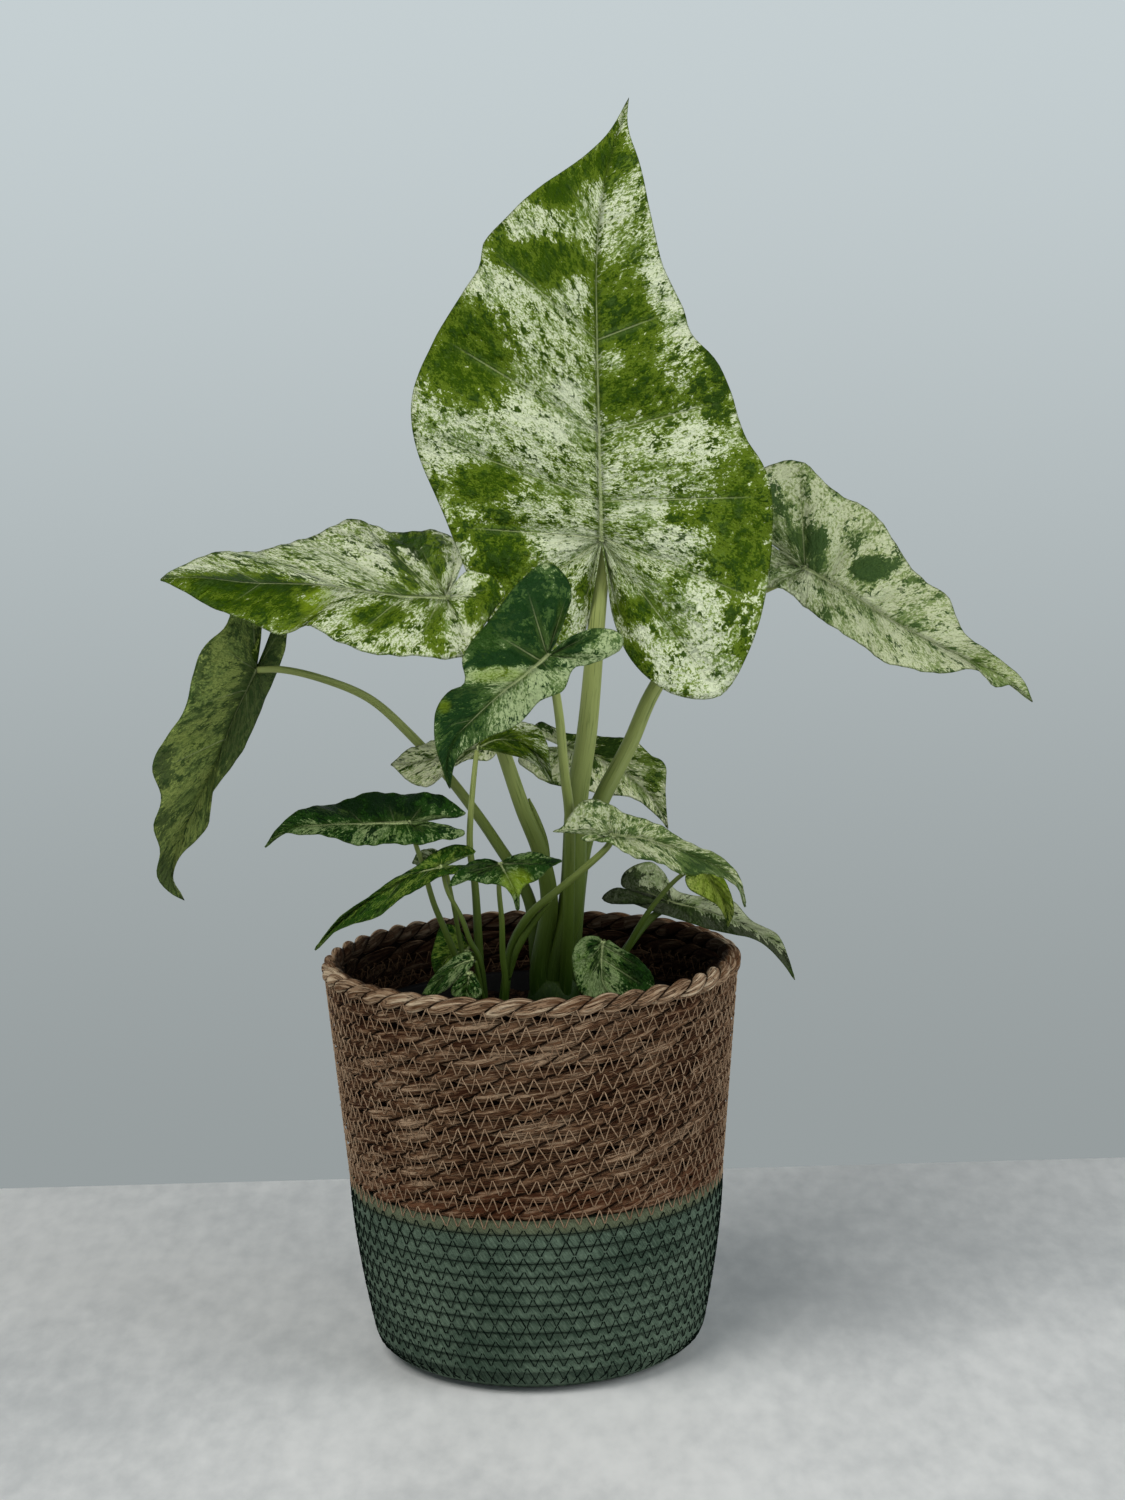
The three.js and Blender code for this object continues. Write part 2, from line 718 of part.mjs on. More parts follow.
const FRONT_STALKS = [
  {
    // carries blade_centre_green
    start: [-4, 5],
    points: [
      [-26, 187, -30], [-26, 202, -30], [-27, 238, -32], [-29, 259, -33], [-25, 300, -31],
      [-24, 306, -30],
    ],
    root: 3,
    end: 1.2,
  },
  {
    // carries blade_low_right
    start: [5, 4],
    points: [
      [-13, 187, -36], [-9, 207, -38], [0, 222, -44], [13, 233, -48], [28, 245, -51],
      [40, 256, -51], [42, 260, -51],
    ],
    root: 2.8,
    end: 1.6,
  },
  {
    // carries blade_low_left_dark
    start: [-7, -2],
    points: [
      [-32, 187, -45], [-38, 203, -46], [-44, 219, -48], [-48, 230, -49], [-53, 250, -48],
      [-56, 260, -46], [-58, 269, -45],
    ],
    root: 2.4,
    end: 1.1,
  },
  {
    // carries blade_low_left_narrow
    start: [-2, -5],
    points: [
      [-24, 187, -50], [-26, 201, -52], [-30, 209, -54], [-34, 221, -56], [-41, 236, -58],
      [-43, 246, -57],
    ],
    root: 2,
    end: 1,
  },
  {
    // carries blade_low_front
    start: [6, -5],
    points: [
      [-13, 187, -55], [-14, 201, -58], [-14, 219, -63], [-15, 237, -69], [-14, 247, -71],
    ],
    root: 2,
    end: 1.1,
  },
  {
    // carries blade_behind_narrow
    start: [-5, 1],
    points: [[-32, 187, -38], [-36, 215, -37], [-40, 240, -40], [-42, 251, -41]],
    root: 1.8,
    end: 0.9,
  },
  {
    // carries blade_in_pot_left_yellow
    start: [-3, 6],
    points: [[-26, 190, -33], [-28, 201, -29], [-32, 205, -28]],
    root: 1.8,
    end: 1,
  },
  {
    // carries blade_in_pot_left_striped
    start: [-3, -7],
    points: [[-26, 188, -54], [-28, 199, -57]],
    root: 1.8,
    end: 1,
  },
  {
    // carries blade_in_pot_left_pale
    start: [1, -8],
    points: [[-25, 182, -60], [-29, 192, -65]],
    root: 1.6,
    end: 1,
  },
];

const RIGHT_STALKS = [
  {
    // carries blade_right_over_rim
    start: [0, 2],
    points: [[38, 190, -8], [47, 202, -2], [60, 218, 5], [70, 225, 9]],
    root: 2.6,
    end: 1.8,
  },
  {
    // carries blade_right_small
    start: [2, 0],
    points: [[43, 190, -14], [58, 220, -18], [76, 240, -19], [85, 244, -20]],
    root: 2.2,
    end: 1,
  },
  {
    // carries blade_in_pot_right
    start: [0, -2],
    points: [[38, 184, -28], [38, 200, -48], [36, 206, -56]],
    root: 2.2,
    end: 1.4,
  },
];

function growShoot(foot, stalks, clearances) {
  let body = shootFoot(foot);
  for (const route of stalks) {
    const start = new THREE.Vector3(
      foot.x + route.start[0],
      foot.y + route.start[1],
      SOIL_TOP + STALK_START,
    );
    const places = [start, ...route.points.map((point) => seen(...point))];
    body = body.add(stalk(places, route.root, route.end, route.sides ?? STALK_SIDES));
  }
  for (const clearance of clearances) body = body.subtract(clearance);
  return fromManifold(biggestPiece(body));
}

// The basket

function wallRadius(height) {
  if (height >= GREEN_HEIGHT) {
    const share = (height - GREEN_HEIGHT) / (BASKET_HEIGHT - RIM_ROPE - GREEN_HEIGHT);
    return THREE.MathUtils.lerp(SHOULDER_RADIUS, TOP_RADIUS, share);
  }
  const drop = (GREEN_HEIGHT - height) / GREEN_HEIGHT;
  const foot = BASE_RADIUS + BASE_CORNER_WIDTH;
  return SHOULDER_RADIUS - (SHOULDER_RADIUS - foot) * drop ** WALL_CURVE;
}

function coiledWall(bottom, top, rows) {
  const outline = [];
  for (let row = 0; row < rows; row += 1) {
    const low = THREE.MathUtils.lerp(bottom, top, row / rows);
    const middle = THREE.MathUtils.lerp(bottom, top, (row + 0.5) / rows);
    outline.push([wallRadius(low) - ROW_BULGE, low]);
    outline.push([wallRadius(middle), middle]);
  }
  outline.push([wallRadius(top) - ROW_BULGE, top]);
  return outline;
}

function turned(outline, segments) {
  const profile = outline.map(([radius, height]) => new THREE.Vector2(radius, height));
  profile.push(profile[0].clone());
  const solid = new THREE.LatheGeometry(profile, segments);
  solid.rotateX(Math.PI / 2);
  return fromManifold(toManifold(solid));
}

function greenBand() {
  const outline = [[0, 0], [BASE_RADIUS, 0]];
  for (const degrees of [30, 60]) {
    const angle = THREE.MathUtils.degToRad(degrees);
    outline.push([
      BASE_RADIUS + BASE_CORNER_WIDTH * Math.sin(angle),
      BASE_CORNER_HEIGHT * (1 - Math.cos(angle)),
    ]);
  }
  outline.push(...coiledWall(BASE_CORNER_HEIGHT, GREEN_HEIGHT - GAP, GREEN_ROWS));
  const inner = GREEN_HEIGHT - GAP;
  for (const height of [inner, inner / 2, FLOOR_THICKNESS + INNER_CORNER]) {
    outline.push([wallRadius(height) - ROPE_THICKNESS, height]);
  }
  outline.push([wallRadius(FLOOR_THICKNESS) - ROPE_THICKNESS - INNER_CORNER, FLOOR_THICKNESS]);
  outline.push([0, FLOOR_THICKNESS]);
  return turned(outline, AROUND);
}

function naturalBand() {
  const top = BASKET_HEIGHT - RIM_ROPE - GAP;
  const outline = coiledWall(GREEN_HEIGHT, top, NATURAL_ROWS);
  outline.push([wallRadius(top) - ROPE_THICKNESS, top]);
  outline.push([wallRadius(GREEN_HEIGHT) - ROPE_THICKNESS, GREEN_HEIGHT]);
  return turned(outline, AROUND);
}

// The rim is one thick rope of two strands twisted together, laid in a ring.
function rimRope() {
  const steps = RIM_TWISTS * RIM_STEPS_PER_TWIST;
  const sides = RIM_SIDES;
  const positions = [];
  const triangles = [];
  for (let step = 0; step < steps; step += 1) {
    const around = (2 * Math.PI * step) / steps;
    const twist = RIM_TWISTS * around;
    for (let side = 0; side < sides; side += 1) {
      const angle = (2 * Math.PI * side) / sides;
      const lobe = 1 - RIM_RELIEF * (1 - Math.cos(2 * (angle - twist))) / 2;
      const radius = (RIM_ROPE / 2) * lobe;
      const out = RIM_RADIUS + radius * Math.cos(angle);
      const up = BASKET_HEIGHT - RIM_ROPE / 2 + radius * Math.sin(angle);
      positions.push(out * Math.cos(around), out * Math.sin(around), up);
    }
  }
  for (let step = 0; step < steps; step += 1) {
    const near = step * sides;
    const far = ((step + 1) % steps) * sides;
    for (let side = 0; side < sides; side += 1) {
      const next = (side + 1) % sides;
      triangles.push(near + side, far + side, far + next);
      triangles.push(near + side, far + next, near + next);
    }
  }
  return solidFrom(positions, triangles);
}

// The nursery pot and the soil

function potRadius(height) {
  const share = (height - FLOOR_THICKNESS) / POT_HEIGHT;
  return THREE.MathUtils.lerp(POT_BASE_RADIUS, POT_RIM_RADIUS, share);
}

function nurseryPot() {
  const bottom = FLOOR_THICKNESS + GAP;
  const top = bottom + POT_HEIGHT;
  const outline = [
    [0, bottom],
    [potRadius(bottom), bottom],
    [potRadius(top - POT_LIP_HEIGHT), top - POT_LIP_HEIGHT],
    [potRadius(top) + POT_LIP, top - POT_LIP_HEIGHT],
    [potRadius(top) + POT_LIP, top],
    [potRadius(top) - POT_WALL, top],
    [potRadius(bottom) - POT_WALL, bottom + POT_WALL],
    [0, bottom + POT_WALL],
  ];
  return turned(outline, AROUND);
}

function soil() {
  const bottom = SOIL_TOP - SOIL_DEPTH;
  const wall = (height) => potRadius(height) - POT_WALL - GAP * 2;
  const outline = [
    [0, bottom],
    [wall(bottom), bottom],
    [wall(SOIL_TOP - SOIL_EDGE_DROP), SOIL_TOP - SOIL_EDGE_DROP],
    [wall(SOIL_TOP) - SOIL_EDGE_WIDTH, SOIL_TOP],
    [0, SOIL_TOP],
  ];
  let body = toManifold(turned(outline, AROUND));
  for (const foot of [MAIN_FOOT, FRONT_FOOT, RIGHT_FOOT]) {
    const depth = foot.depth + GAP;
    const radius = foot.radius + GAP;
    const hole = wasm.Manifold.cylinder(depth + 1, radius, radius, FOOT_SIDES);
    body = body.subtract(hole.translate(foot.x, foot.y, SOIL_TOP - depth));
  }
  return fromManifold(body);
}

// The whole model

function part(name, geometry, colour, roughness) {
  geometry.deleteAttribute('normal');
  geometry.deleteAttribute('uv');
  geometry.computeVertexNormals();
  const material = new THREE.MeshStandardMaterial({ color: colour, roughness, metalness: 0 });
  material.name = name;
  const mesh = new THREE.Mesh(geometry, material);
  mesh.name = name;
  return mesh;
}

const group = new THREE.Group();
group.name = 'potted_giant_taro';

const blades = LEAVES.map((leaf) => {
  const spec = { ...BLADE_FORM, ...leaf };
  return { leaf: spec, sheet: shapeSheet(bladeSheet(spec), spec) };
});
for (const { leaf, sheet } of blades) {
  group.add(part(leaf.name, thickenSheet(sheet), leaf.colour, 0.45));
}
const clearances = blades.map(({ sheet }) => toManifold(thickenSheet(sheet, GAP * 2)));

group.add(part('main_stalks', growShoot(MAIN_FOOT, MAIN_STALKS, clearances), STEM_GREEN, 0.5));
group.add(part('front_stalks', growShoot(FRONT_FOOT, FRONT_STALKS, clearances), STEM_GREEN, 0.5));
group.add(part('right_stalks', growShoot(RIGHT_FOOT, RIGHT_STALKS, clearances), STEM_GREEN, 0.5));
group.add(part('soil', soil(), '#1c1714', 0.95));
group.add(part('nursery_pot', nurseryPot(), '#1d1e1f', 0.6));
group.add(part('basket_green_band', greenBand(), '#556c5c', 0.9));
group.add(part('basket_natural_band', naturalBand(), '#967856', 0.9));
group.add(part('basket_rim_rope', rimRope(), '#aa8c69', 0.85));

export default group;
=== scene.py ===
# %% [markdown]
# # A potted giant taro in a two-tone rope basket
#
# Large arrow-shaped leaves, splashed with cream and several greens, stand on long round stalks.
# The plant grows in a black nursery pot, inside a basket sewn from coiled rope: twisted natural
# grass above, smooth sage-green paper cord below, and one thick twisted rope as the rim.
#
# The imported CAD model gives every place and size. Each of its pieces is replaced here by a finer
# one that is worked out from the same dimensions, and then gets its finish.

import json
from functools import partialmethod

import bpy
import numpy as np
from mathutils import Matrix, Vector


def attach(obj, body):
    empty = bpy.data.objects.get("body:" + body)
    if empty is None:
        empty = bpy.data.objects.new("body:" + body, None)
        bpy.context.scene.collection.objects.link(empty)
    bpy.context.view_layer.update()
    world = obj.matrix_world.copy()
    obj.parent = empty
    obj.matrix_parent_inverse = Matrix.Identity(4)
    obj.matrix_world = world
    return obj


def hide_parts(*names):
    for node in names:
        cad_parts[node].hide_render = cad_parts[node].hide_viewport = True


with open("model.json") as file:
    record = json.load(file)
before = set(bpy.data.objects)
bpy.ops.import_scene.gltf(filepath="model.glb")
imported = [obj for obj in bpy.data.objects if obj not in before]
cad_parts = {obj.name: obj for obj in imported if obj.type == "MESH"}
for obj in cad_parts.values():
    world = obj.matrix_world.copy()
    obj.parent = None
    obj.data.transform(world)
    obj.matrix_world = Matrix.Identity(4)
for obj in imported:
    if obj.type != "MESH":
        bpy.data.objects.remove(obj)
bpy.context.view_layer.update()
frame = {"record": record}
MM = 0.001

# %% [markdown]
# ## The standing point
#
# The photograph was taken from a little above the plant's middle, looking slightly down. The
# leaves are laid out as they are seen from that point, so it comes first: a place is written
# as (across, up, depth), where it shows against the upright plane through the pot's axis and
# how far behind that plane it really lies.

# %% The camera and the sight lines
VIEW_DISTANCE = 1637.0
VIEW_HEIGHT = 569.0
PITCH = 0.1599
YAW = 0.0112
ROLL = -0.0245
FOCAL_LENGTH = 107.0
SENSOR_WIDTH = 36.0


def add_object(name, data):
    thing = bpy.data.objects.new(name, data)
    bpy.context.scene.collection.objects.link(thing)
    return thing


def add_camera():
    """Looks down by the pitch and right by the yaw, then turns round its own axis by the roll."""
    ahead = Vector((np.sin(YAW) * np.cos(PITCH), np.cos(YAW) * np.cos(PITCH), -np.sin(PITCH)))
    right = Vector((np.cos(YAW), -np.sin(YAW), 0))
    up = right.cross(ahead)
    right, up = right * np.cos(ROLL) + up * np.sin(ROLL), up * np.cos(ROLL) - right * np.sin(ROLL)
    camera = add_object("camera", bpy.data.cameras.new("camera"))
    camera.data.lens = FOCAL_LENGTH
    camera.data.sensor_width = SENSOR_WIDTH
    camera.data.sensor_fit = "HORIZONTAL"
    turn = Matrix((right, up, -ahead)).transposed().to_4x4()
    camera.matrix_world = Matrix.Translation((0, -VIEW_DISTANCE * MM, VIEW_HEIGHT * MM)) @ turn
    bpy.context.scene.camera = camera


def seen(layout):
    """Moves each (across, up) along its sight line, from the upright plane to its depth."""
    across, up, depth = np.moveaxis(np.asarray(layout, float), -1, 0)
    reach = (depth + VIEW_DISTANCE) / VIEW_DISTANCE
    return np.stack([across * reach, depth, VIEW_HEIGHT + (up - VIEW_HEIGHT) * reach], axis=-1)


add_camera()
print("camera at", tuple(round(v, 3) for v in bpy.context.scene.camera.location))

# %% [markdown]
# ## Surfaces as arrays
#
# Every piece below is one or more closed shapes, each a grid of points worked out by a formula.
# A shape is written as its points in millimetres, its sets of faces, and its fields, which are
# values kept at each point for the materials to read. Faces are turned outwards by the sign of
# the volume they enclose.

# %% Helpers that turn arrays into pieces
def enclosed(points, face_sets):
    """Six times the volume: the triple product of each triangle of each face, added up."""
    centred = points - points.mean(axis=0)
    total = 0.0
    for faces in face_sets:
        first = centred[faces[:, 0]]
        for corner in range(1, faces.shape[1] - 1):
            edge = np.cross(centred[faces[:, corner]], centred[faces[:, corner + 1]])
            total += (first * edge).sum()
    return total


def joined(shapes):
    """All points, faces and fields of several shapes. A field whose name ends in space holds
    vectors, and any other holds single values."""
    points, faces, fields, count = [], [], {}, 0
    for shape_points, face_sets, shape_fields in shapes:
        flat = np.reshape(shape_points, (-1, 3)).astype(float)
        turn = -1 if enclosed(flat, face_sets) < 0 else 1
        for face_set in face_sets:
            faces.extend((face_set[:, ::turn] + count).tolist())
        for name, values in shape_fields.items():
            size = (len(flat), 3) if name.endswith("space") else (len(flat),)
            values = np.reshape(values, size) if np.ndim(values) else np.full(size, values)
            fields.setdefault(name, []).append(values)
        points.append(flat)
        count += len(flat)
    return np.vstack(points), faces, fields


def make_piece(name, shapes, material, slot, *nodes):
    """Puts shapes into one mesh in metres, and lets it stand for the CAD nodes named."""
    points, faces, fields = joined(shapes)
    mesh = bpy.data.meshes.new(name)
    mesh.from_pydata((points * MM).tolist(), [], faces)
    for field, blocks in fields.items():
        values = np.concatenate(blocks).astype(np.float32)
        kind, key = ("FLOAT_VECTOR", "vector") if values.ndim == 2 else ("FLOAT", "value")
        mesh.attributes.new(field, kind, "POINT").data.foreach_set(key, values.ravel())
    mesh.materials.append(material)
    mesh.shade_smooth()
    piece = add_object(name, mesh)
    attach(piece, "root")
    if nodes:
        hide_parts(*nodes)
    print(name, "points:", len(points), "faces:", len(faces))


def grid_faces(rows, columns, wrap_rows=False):
    """Quads between neighbours in a grid of points that are numbered row by row. Each row
    closes on itself, and the rows do so where they wrap."""
    row = np.arange(rows if wrap_rows else rows - 1)
    row, column = np.meshgrid(row, np.arange(columns), indexing="ij")
    here, below = row * columns, (row + 1) % rows * columns
    beside = (column + 1) % columns
    return np.stack([here + column, here + beside, below + beside, below + column], -1).reshape(-1, 4)


def unit(vectors):
    """The same directions at length one."""
    return vectors / np.maximum(np.linalg.norm(vectors, axis=-1, keepdims=True), 1e-9)


def full_turn(count):
    """Angles spaced evenly all the way round."""
    return np.linspace(0, 2 * np.pi, count, endpoint=False)


def wander(angle, seed, waves=(2, 3, 5, 7, 11, 17)):
    """A smooth random course round a ring: sines of whole numbers of waves, slower ones larger."""
    rng = np.random.default_rng(seed)
    return sum(np.sin(n * angle + rng.uniform(0, 2 * np.pi)) / np.sqrt(n) for n in waves) / 2


# %% Curves and tubes
CURVE_SAMPLES = 200


def smooth_line(points, count):
    """A centripetal Catmull-Rom curve through the points, cut into even lengths."""
    points = np.array([(*point, 0.0)[:3] for point in points], float)
    padded = np.vstack([2 * points[0] - points[1], points, 2 * points[-1] - points[-2]])
    gaps = np.sqrt(np.linalg.norm(np.diff(padded, axis=0), axis=1))

    def at(share):
        span = np.minimum((share * (len(points) - 1)).astype(int), len(points) - 2)
        w = (share * (len(points) - 1) - span)[:, None]
        p0, p1, p2, p3 = (padded[span + k] for k in range(4))
        d0, d1, d2 = (gaps[span + k][:, None] for k in range(3))
        leaving = ((p1 - p0) / d0 - (p2 - p0) / (d0 + d1) + (p2 - p1) / d1) * d1
        arriving = ((p2 - p1) / d1 - (p3 - p1) / (d1 + d2) + (p3 - p2) / d2) * d1
        bend = 3 * (p2 - p1) - 2 * leaving - arriving
        return p1 + leaving * w + bend * w**2 + (2 * (p1 - p2) + leaving + arriving) * w**3

    shares = np.linspace(0, 1, CURVE_SAMPLES + 1)
    steps = np.linalg.norm(np.diff(at(shares), axis=0), axis=1)
    lengths = np.concatenate([[0], np.cumsum(steps)])
    return at(np.interp(np.linspace(0, lengths[-1], count + 1), lengths, shares))


def along(line, share):
    """The places at given shares of a line's length."""
    place = np.clip(share, 0, 1) * (len(line) - 1)
    return np.stack([np.interp(place, np.arange(len(line)), line[:, k]) for k in range(3)], -1)


def tubes(routes, radii, sides, beside, fields=None):
    """Round tubes with flat ends: at each point of a route, a circle across the route."""
    routes = np.asarray(routes, float)
    count, steps = routes.shape[:2]
    ahead = unit(np.gradient(routes, axis=1))
    sideways = unit(np.cross(ahead, beside))
    upward = np.cross(sideways, ahead)
    angle = full_turn(sides)[:, None]
    spokes = np.cos(angle) * sideways[:, :, None] + np.sin(angle) * upward[:, :, None]
    points = routes[:, :, None] + spokes * np.broadcast_to(radii, (count, steps, sides))[..., None]
    starts = (np.arange(count) * steps * sides)[:, None, None]
    walls = (grid_faces(steps, sides)[None] + starts).reshape(-1, 4)
    ends = np.stack([np.arange(sides)[::-1], np.arange(sides) + (steps - 1) * sides])
    return points, [walls, (ends[None] + starts).reshape(-1, sides)], fields or {}


def turned(profile, segments):
    """A profile of (radius, height) turned round the upright axis. It starts and ends on the
    axis, where its points close to a pole, or else closes on itself."""
    radius, height = np.array(profile, float).T[..., None]
    closed = radius[0, 0] > 0
    inner = slice(None) if closed else slice(1, -1)
    circle = np.stack([np.cos(full_turn(segments)), np.sin(full_turn(segments))], -1)
    points = np.dstack([radius[inner, :, None] * circle, np.repeat(height[inner], segments, 1)])
    rows = len(points)
    points = points.reshape(-1, 3)
    faces = [grid_faces(rows, segments, wrap_rows=closed)]
    if not closed:
        here = np.arange(segments)
        after = (here + 1) % segments
        last = (rows - 1) * segments
        faces.append(np.stack([np.full(segments, len(points)), after, here], -1))
        faces.append(np.stack([np.full(segments, len(points) + 1), here + last, after + last], -1))
        points = np.vstack([points, [0, 0, height[0, 0]], [0, 0, height[-1, 0]]])
    return points, faces


print("a bent test line is cut into", len(smooth_line([(0, 0), (30, 10), (60, 0)], 50)) - 1, "lengths")

# %% [markdown]
# ## Finishes from nodes
#
# A material is a graph of nodes. Written out, such a graph is long, so two small classes keep
# it readable: one wraps a socket, so that plain arithmetic on it adds Math nodes, and one
# stands for a finish, with a single method that adds any other node.

# %% The classes that write materials
def colour(red, green, blue):
    """A screen colour from 0 to 255 as the linear colour that a shader takes."""
    screen = np.array([red, green, blue]) / 255
    linear = np.where(screen <= 0.04045, screen / 12.92, ((screen + 0.055) / 1.055) ** 2.4)
    return (*linear.tolist(), 1.0)


class Value:
    """A socket that takes part in Python arithmetic."""

    def __init__(self, finish, socket):
        self.finish = finish
        self.socket = socket

    def math(self, operation, *values):
        inputs = dict(enumerate((self, *values)))
        return self.finish.node("Math", {"operation": operation}, inputs)

    __add__ = __radd__ = partialmethod(math, "ADD")
    __sub__ = partialmethod(math, "SUBTRACT")
    __mul__ = __rmul__ = partialmethod(math, "MULTIPLY")
    size = partialmethod(math, "ABSOLUTE")

    def __rsub__(self, other):
        return self * -1.0 + other

    def step(self, low, high):
        """Rises smoothly from 0 at low to 1 at high, or falls where low is the larger."""
        ends = {1: low, 2: high} if low < high else {1: high, 2: low, 3: 1.0, 4: 0.0}
        return self.finish.node("MapRange", {"interpolation_type": "SMOOTHSTEP"}, {0: self, **ends})


class Finish:
    """The nodes of one material, or of the surroundings."""

    def __init__(self, owner):
        owner.use_nodes = True
        self.owner = owner
        self.tree = owner.node_tree

    def put(self, socket, value):
        if isinstance(value, Value):
            self.tree.links.new(value.socket, socket)
        else:
            socket.default_value = value

    def node(self, kind, settings=None, inputs=None, output=0):
        """Adds a node of any type: first its settings, then values or links of its sockets."""
        node = self.tree.nodes.new("ShaderNode" + kind)
        for name, setting in (settings or {}).items():
            setattr(node, name, setting)
        for key, value in (inputs or {}).items():
            self.put(node.inputs[key], value)
        return Value(self, node.outputs[output])

    def field(self, name, output="Fac"):
        return self.node("Attribute", {"attribute_name": name}, output=output)

    def height(self, space="Object"):
        return self.node("SeparateXYZ", {}, {0: self.node("TexCoord", output=space)}, 2)

    def noise(self, space, scale, detail=3.0, rough=0.55, bend=0.0, stretch=(1.0, 1.0, 1.0)):
        """Cloudy noise round 0, mostly between -0.25 and 0.25. It is drawn in object space or
        in a vector field, with each axis made denser or wider."""
        place = self.node("TexCoord", output=space) if space == "Object" else self.field(space, "Vector")
        place = self.node("VectorMath", {"operation": "MULTIPLY"}, {0: place, 1: stretch})
        inputs = {"Vector": place, "Scale": scale, "Detail": detail, "Roughness": rough,
                  "Distortion": bend}
        return self.node("TexNoise", {}, inputs) - 0.5

    def mix(self, share, *ends):
        """The first colour where the share is 0 and the second where it is 1."""
        first, second = (end if isinstance(end, Value) else colour(*end) for end in ends)
        return self.node("Mix", {"data_type": "RGBA"}, {0: share, 6: first, 7: second}, 2)

    def paint(self, base, relief, depth, roughness, specular=0.05):
        """Links the base colour, a relief of the given depth in millimetres, and roughness."""
        bump = self.node("Bump", {}, {"Height": relief, "Distance": depth * MM, "Strength": 1.0})
        shader = self.tree.nodes["Principled BSDF"]
        for key, value in (("Base Color", base), ("Roughness", roughness),
                           ("Specular IOR Level", specular), ("Normal", bump)):
            self.put(shader.inputs[key], value)
        return self.owner


def new_finish(name):
    return Finish(bpy.data.materials.new(name))


print("finish helpers ready")

# %% [markdown]
# ## The leaf blades
#
# A taro leaf is an arrowhead. Its stalk joins at the notch, a pale midrib runs on to the tip,
# and side veins leave it on both sides, while two more swing back into the lobes. So a blade
# is made as a grid whose rows are the side veins: each row runs from the midrib out to the
# margin, and the first rows fan out from the junction with the stalk.
#
# The tables below are rows of numbers, parted by commas. They give the midrib as it is seen with
# its depth, and both margins as they are seen, up to the tip. The lean is how much each half
# gains in depth for each millimetre across and up. Splashes of colour are (across, up, half
# width, half height, tilt in degrees), then how much they add of green, of dark green and of
# lime, where a negative green is cream.

# %% The leaves, one by one
BLADE_FORM = {
    "rows": 13, "steps": 3, "fan": 0.35, "cup": 0, "wave": 1.5, "waves": 4, "veins": 6,
    "quilt": 0.6, "underside_shows": False, "lean": "0 0.8, 0 0.8", "splashes": "",
}
leaves = []


def numbers(table):
    """The rows of a table as lists of numbers."""
    return [[float(number) for number in row.split()] for row in table.split(",") if row]


def leaf(name, look, greenness, **form):
    form = {**BLADE_FORM, "name": name, "look": look, "greenness": greenness, **form}
    for key in ("rib", "left", "right", "lean", "splashes"):
        form[key] = numbers(form[key])
    tip = form["rib"][-1][:2]
    leaves.append({**form, "left": form["left"] + [tip], "right": form["right"] + [tip],
                   "seed": len(leaves)})


leaf("blade_main_upright", "splashed", 0.12, lean="0.08 0.2, -0.05 0.2", rows=26, steps=5, cup=-5,
    wave=2.5, waves=6, veins=8, quilt=2.2,
    rib="40 409 12, 40 453 16, 40 502 22, 41 550 34, 47 588 48, 58 622 62",
    left="35 401, 34 377, 27 356, 10 351, -13 364, -25 391, -38 426, -50 459, -51 481, -39 510, "
        "-25 531, -16 544, -14 555, -4 566, 11 579, 33 593, 48 606",
    right="42 400, 45 372, 54 349, 73 332, 97 330, 111 350, 123 392, 123 437, 111 461, 105 481, "
        "97 497, 86 509, 83 521, 73 542, 68 564, 63 590, 57 609",
    splashes="23 576 9 6 0 1, 15 545 28 11 -15 1, -24 501 21 25 0 1, 53 517 17 20 0 0.9, "
        "58 481 21 15 0 0.9, 48 595 11 13 0 0.6, 31 586 20 5 25 0.8, -18 440 19 10 0 1, "
        "-11 403 13 19 0 1.1, -34 416 11 7 0 0.6, 110 415 14 35 0 0.9, 83 422 12 10 0 0.5, "
        "55 373 12 6 0 0.8, 55 349 11 6 -60 0.9, 31 383 5 7 0 0.6, 108 352 4 6 0 0.7, "
        "96 485 10 22 0 0.8 0.7, 6 561 7 5 0 -1, -13 536 16 7 -20 -0.9, 29 531 9 6 0 -0.8, "
        "75 525 20 7 -65 -0.9, 27 481 11 6 0 -1, 20 465 15 7 0 -1, 48 496 6 4 0 -1, "
        "-28 460 17 17 0 -0.6, 83 376 8 7 0 -1, 89 355 8 8 0 -1, 98 340 9 8 0 -0.9, "
        "22 408 15 7 0 -0.9, 59 424 11 6 0 -0.9, 73 406 13 8 0 -0.9, -11 408 11 15 0 0 0.5, "
        "48 516 9 16 0 0 0.5")
leaf("blade_left_level", "splashed", 0.14, lean="0 2.4, 0 1.2", rows=22, steps=4, wave=1.5, waves=5,
    veins=7, quilt=1.6,
    rib="-37 382 -22, -56 383 -23, -82 387 -26, -102 390 -29, -135 392 -34, -158 395 -38, -177 395 -42",
    left="-34 386, -30 395, -26 405, -27 409, -36 414, -55 415, -82 421, -95 418, -118 409, "
        "-143 408, -160 404, -172 399",
    right="-32 384, -30 390, -26 395, -18 395, -10 390, -8 382, -14 374, -22 363, -30 354, "
        "-45 352, -70 356, -93 362, -107 371, -117 367, -143 376, -164 388",
    splashes="-135 384 33 10 -12 1, -130 391 30 4 -5 1 0.8, -58 411 13 4 0 0.9, "
        "-58 396 12 3 -60 0.9, -41 400 4 9 0 0.7, -70 373 13 6 0 0.8, -43 365 5 10 0 0.8, "
        "-25 374 3 5 0 0.8, -16 382 6 8 0 1 0.4, -86 403 20 13 0 -0.5, -30 395 6 12 0 -0.8, "
        "-35 365 10 8 0 -0.5, -57 404 13 11 0 0 0.6, -101 382 9 5 35 0 0 1, -113 369 7 3 10 0 0 0.6")
